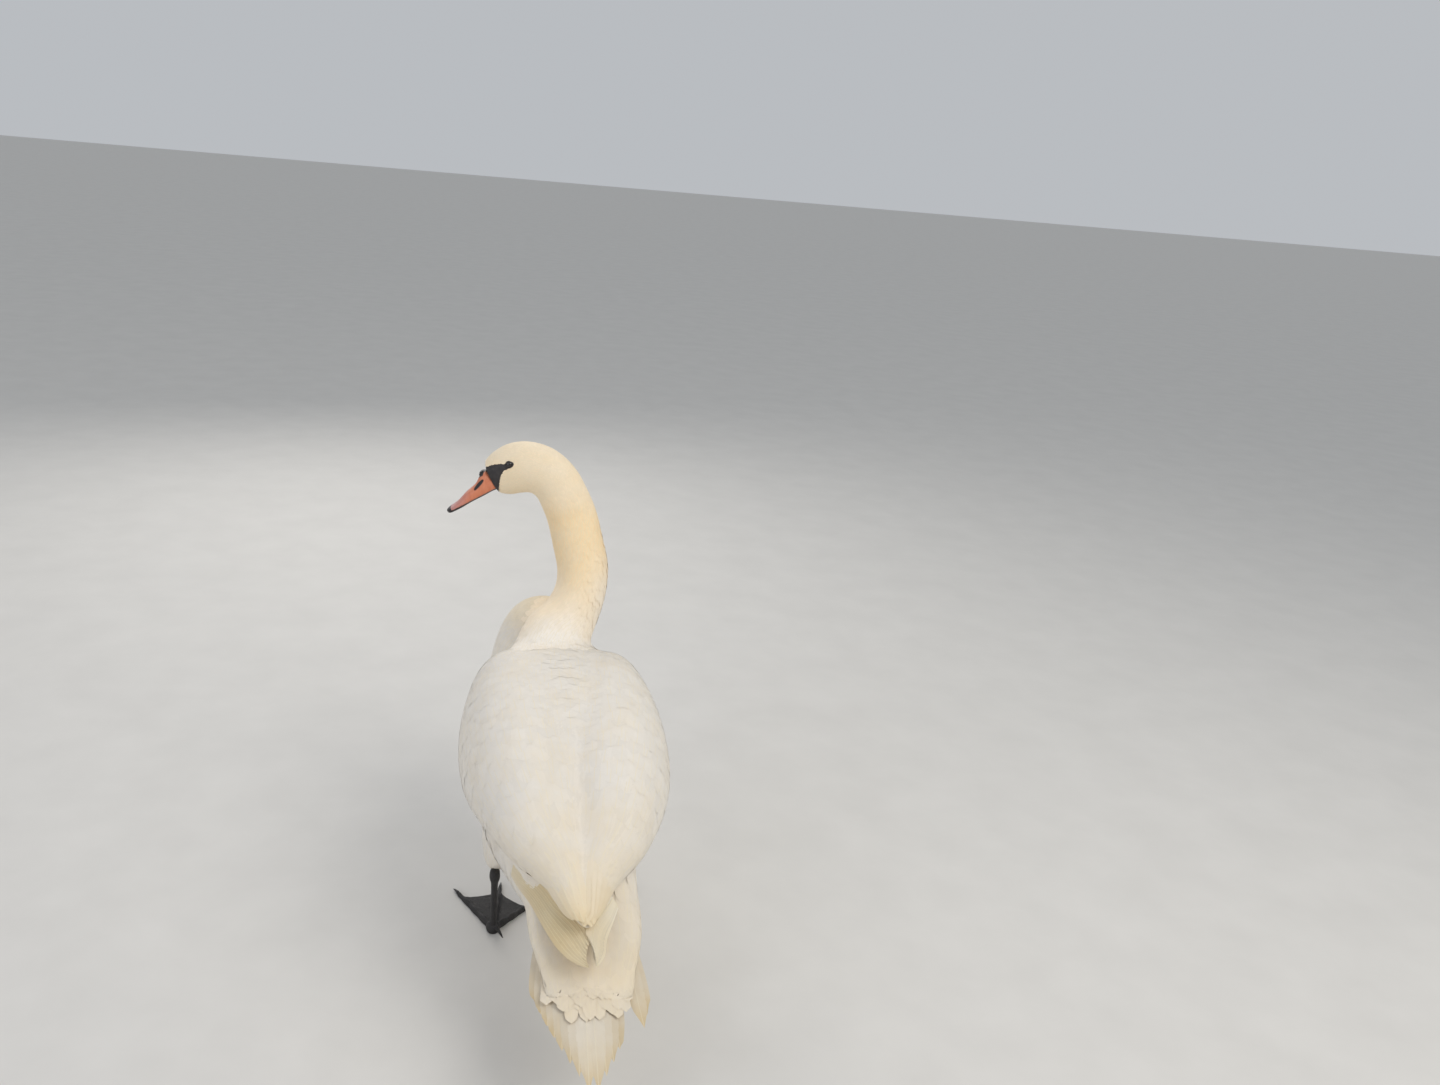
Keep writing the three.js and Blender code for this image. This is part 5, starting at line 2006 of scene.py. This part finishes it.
@dataclass
class Studio:
    """Floor, lights and camera; the camera stands behind the bird and looks down on it."""

    position: Triple = (0.121, 1.504, 1.170)
    yaw: float = -9.16
    pitch: float = -15.84
    roll: float = 5.16
    focal_px: float = 1189.7
    frame_px: float = 1440.0
    sensor: float = 36.0
    shift: Pair = (0.0379, -0.0413)
    lamps: tuple[Lamp, ...] = (
        Lamp("key", (-1.6, 1.3, 2.6), 2.2, 43.0, "#fffaf2"),
        Lamp("fill", (2.2, 1.6, 1.6), 2.4, 18.0, "#f8f8ff"),
        Lamp("front", (0.6, -2.4, 1.9), 2.2, 24.0, "#fdf9f4"),
    )
    sky: str = "#dfe3e8"
    sky_strength: float = 0.66
    floor_size: float = 60.0
    target: Triple = (0.0, 0.0, 0.3)  # what the lamps point at

    def build(self) -> None:
        """Makes the studio."""
        scene = bpy.context.scene
        scene.view_settings.view_transform = "Standard"
        world = bpy.data.worlds.new("studio")
        scene.world = world
        world.use_nodes = True
        world.node_tree.nodes["Background"].inputs[0].default_value = linear(self.sky)
        world.node_tree.nodes["Background"].inputs[1].default_value = self.sky_strength
        for lamp in self.lamps:
            light = bpy.data.lights.new(lamp.name, "AREA")
            light.shape, light.size, light.energy = "DISK", lamp.size, lamp.watts
            light.color = linear(lamp.tint)[:3]
            thing = bpy.data.objects.new(lamp.name, light)
            thing.location = lamp.place
            aim = Vector(self.target) - Vector(lamp.place)
            thing.rotation_euler = aim.to_track_quat("-Z", "Y").to_euler()
            scene.collection.objects.link(thing)
        self.build_floor()
        self.build_camera()

    def build_floor(self) -> None:
        """Makes the plain pale floor."""
        half = self.floor_size / 2
        corners = [(-half, -half, 0), (half, -half, 0), (half, half, 0), (-half, half, 0)]
        mesh = bpy.data.meshes.new("floor")
        mesh.from_pydata(corners, [], [(0, 1, 2, 3)])
        floor = bpy.data.objects.new("floor", mesh)
        bpy.context.scene.collection.objects.link(floor)
        mesh.materials.append(FLOOR_PAINT.material())

    def build_camera(self) -> None:
        """Makes the camera from its turn, tilt and roll."""
        yaw, pitch, roll = (math.radians(a) for a in (self.yaw, self.pitch, self.roll))
        ahead = Vector((math.sin(yaw) * math.cos(pitch), -math.cos(yaw) * math.cos(pitch), math.sin(pitch)))
        right = ahead.cross(Vector((0, 0, 1))).normalized()
        up = right.cross(ahead)
        right, up = (
            math.cos(roll) * right + math.sin(roll) * up,
            -math.sin(roll) * right + math.cos(roll) * up,
        )
        data = bpy.data.cameras.new("camera")
        data.sensor_width = self.sensor
        data.lens = self.focal_px * self.sensor / self.frame_px
        data.shift_x, data.shift_y = self.shift
        camera = bpy.data.objects.new("camera", data)
        turn = Matrix((right, up, -ahead)).transposed().to_4x4()
        camera.matrix_world = Matrix.Translation(self.position) @ turn
        bpy.context.scene.collection.objects.link(camera)
        bpy.context.scene.camera = camera


# ------------ the whole bird


def main() -> None:
    """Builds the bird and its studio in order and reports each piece."""
    logging.basicConfig(level=logging.INFO, format="%(name)s %(message)s")
    rng = np.random.default_rng(SEED)
    form = Form()
    pieces = Skin().build(form)
    for tract in tracts():
        pieces += tract.build(form, rng)
    for side in Side:
        left = side is Side.LEFT
        pieces += Primaries(side, front=0.12 if left else 0.42).build(rng)
        pieces += Tertials(side).build(rng)
        pieces += Tail(side).build(rng)
        pieces += EYES[side].build(form)
        pieces += Leg(side, forward=0.0 if left else 8.0).build()
    pieces += TailCoverts().build(rng)
    pieces += Bill().build(rng)
    for piece in pieces:
        LOG.info("%s: %d faces, %s", piece.name, len(piece.data.polygons), piece.data.materials[0].name)
    Studio().build()


if __name__ == "__main__":
    main()
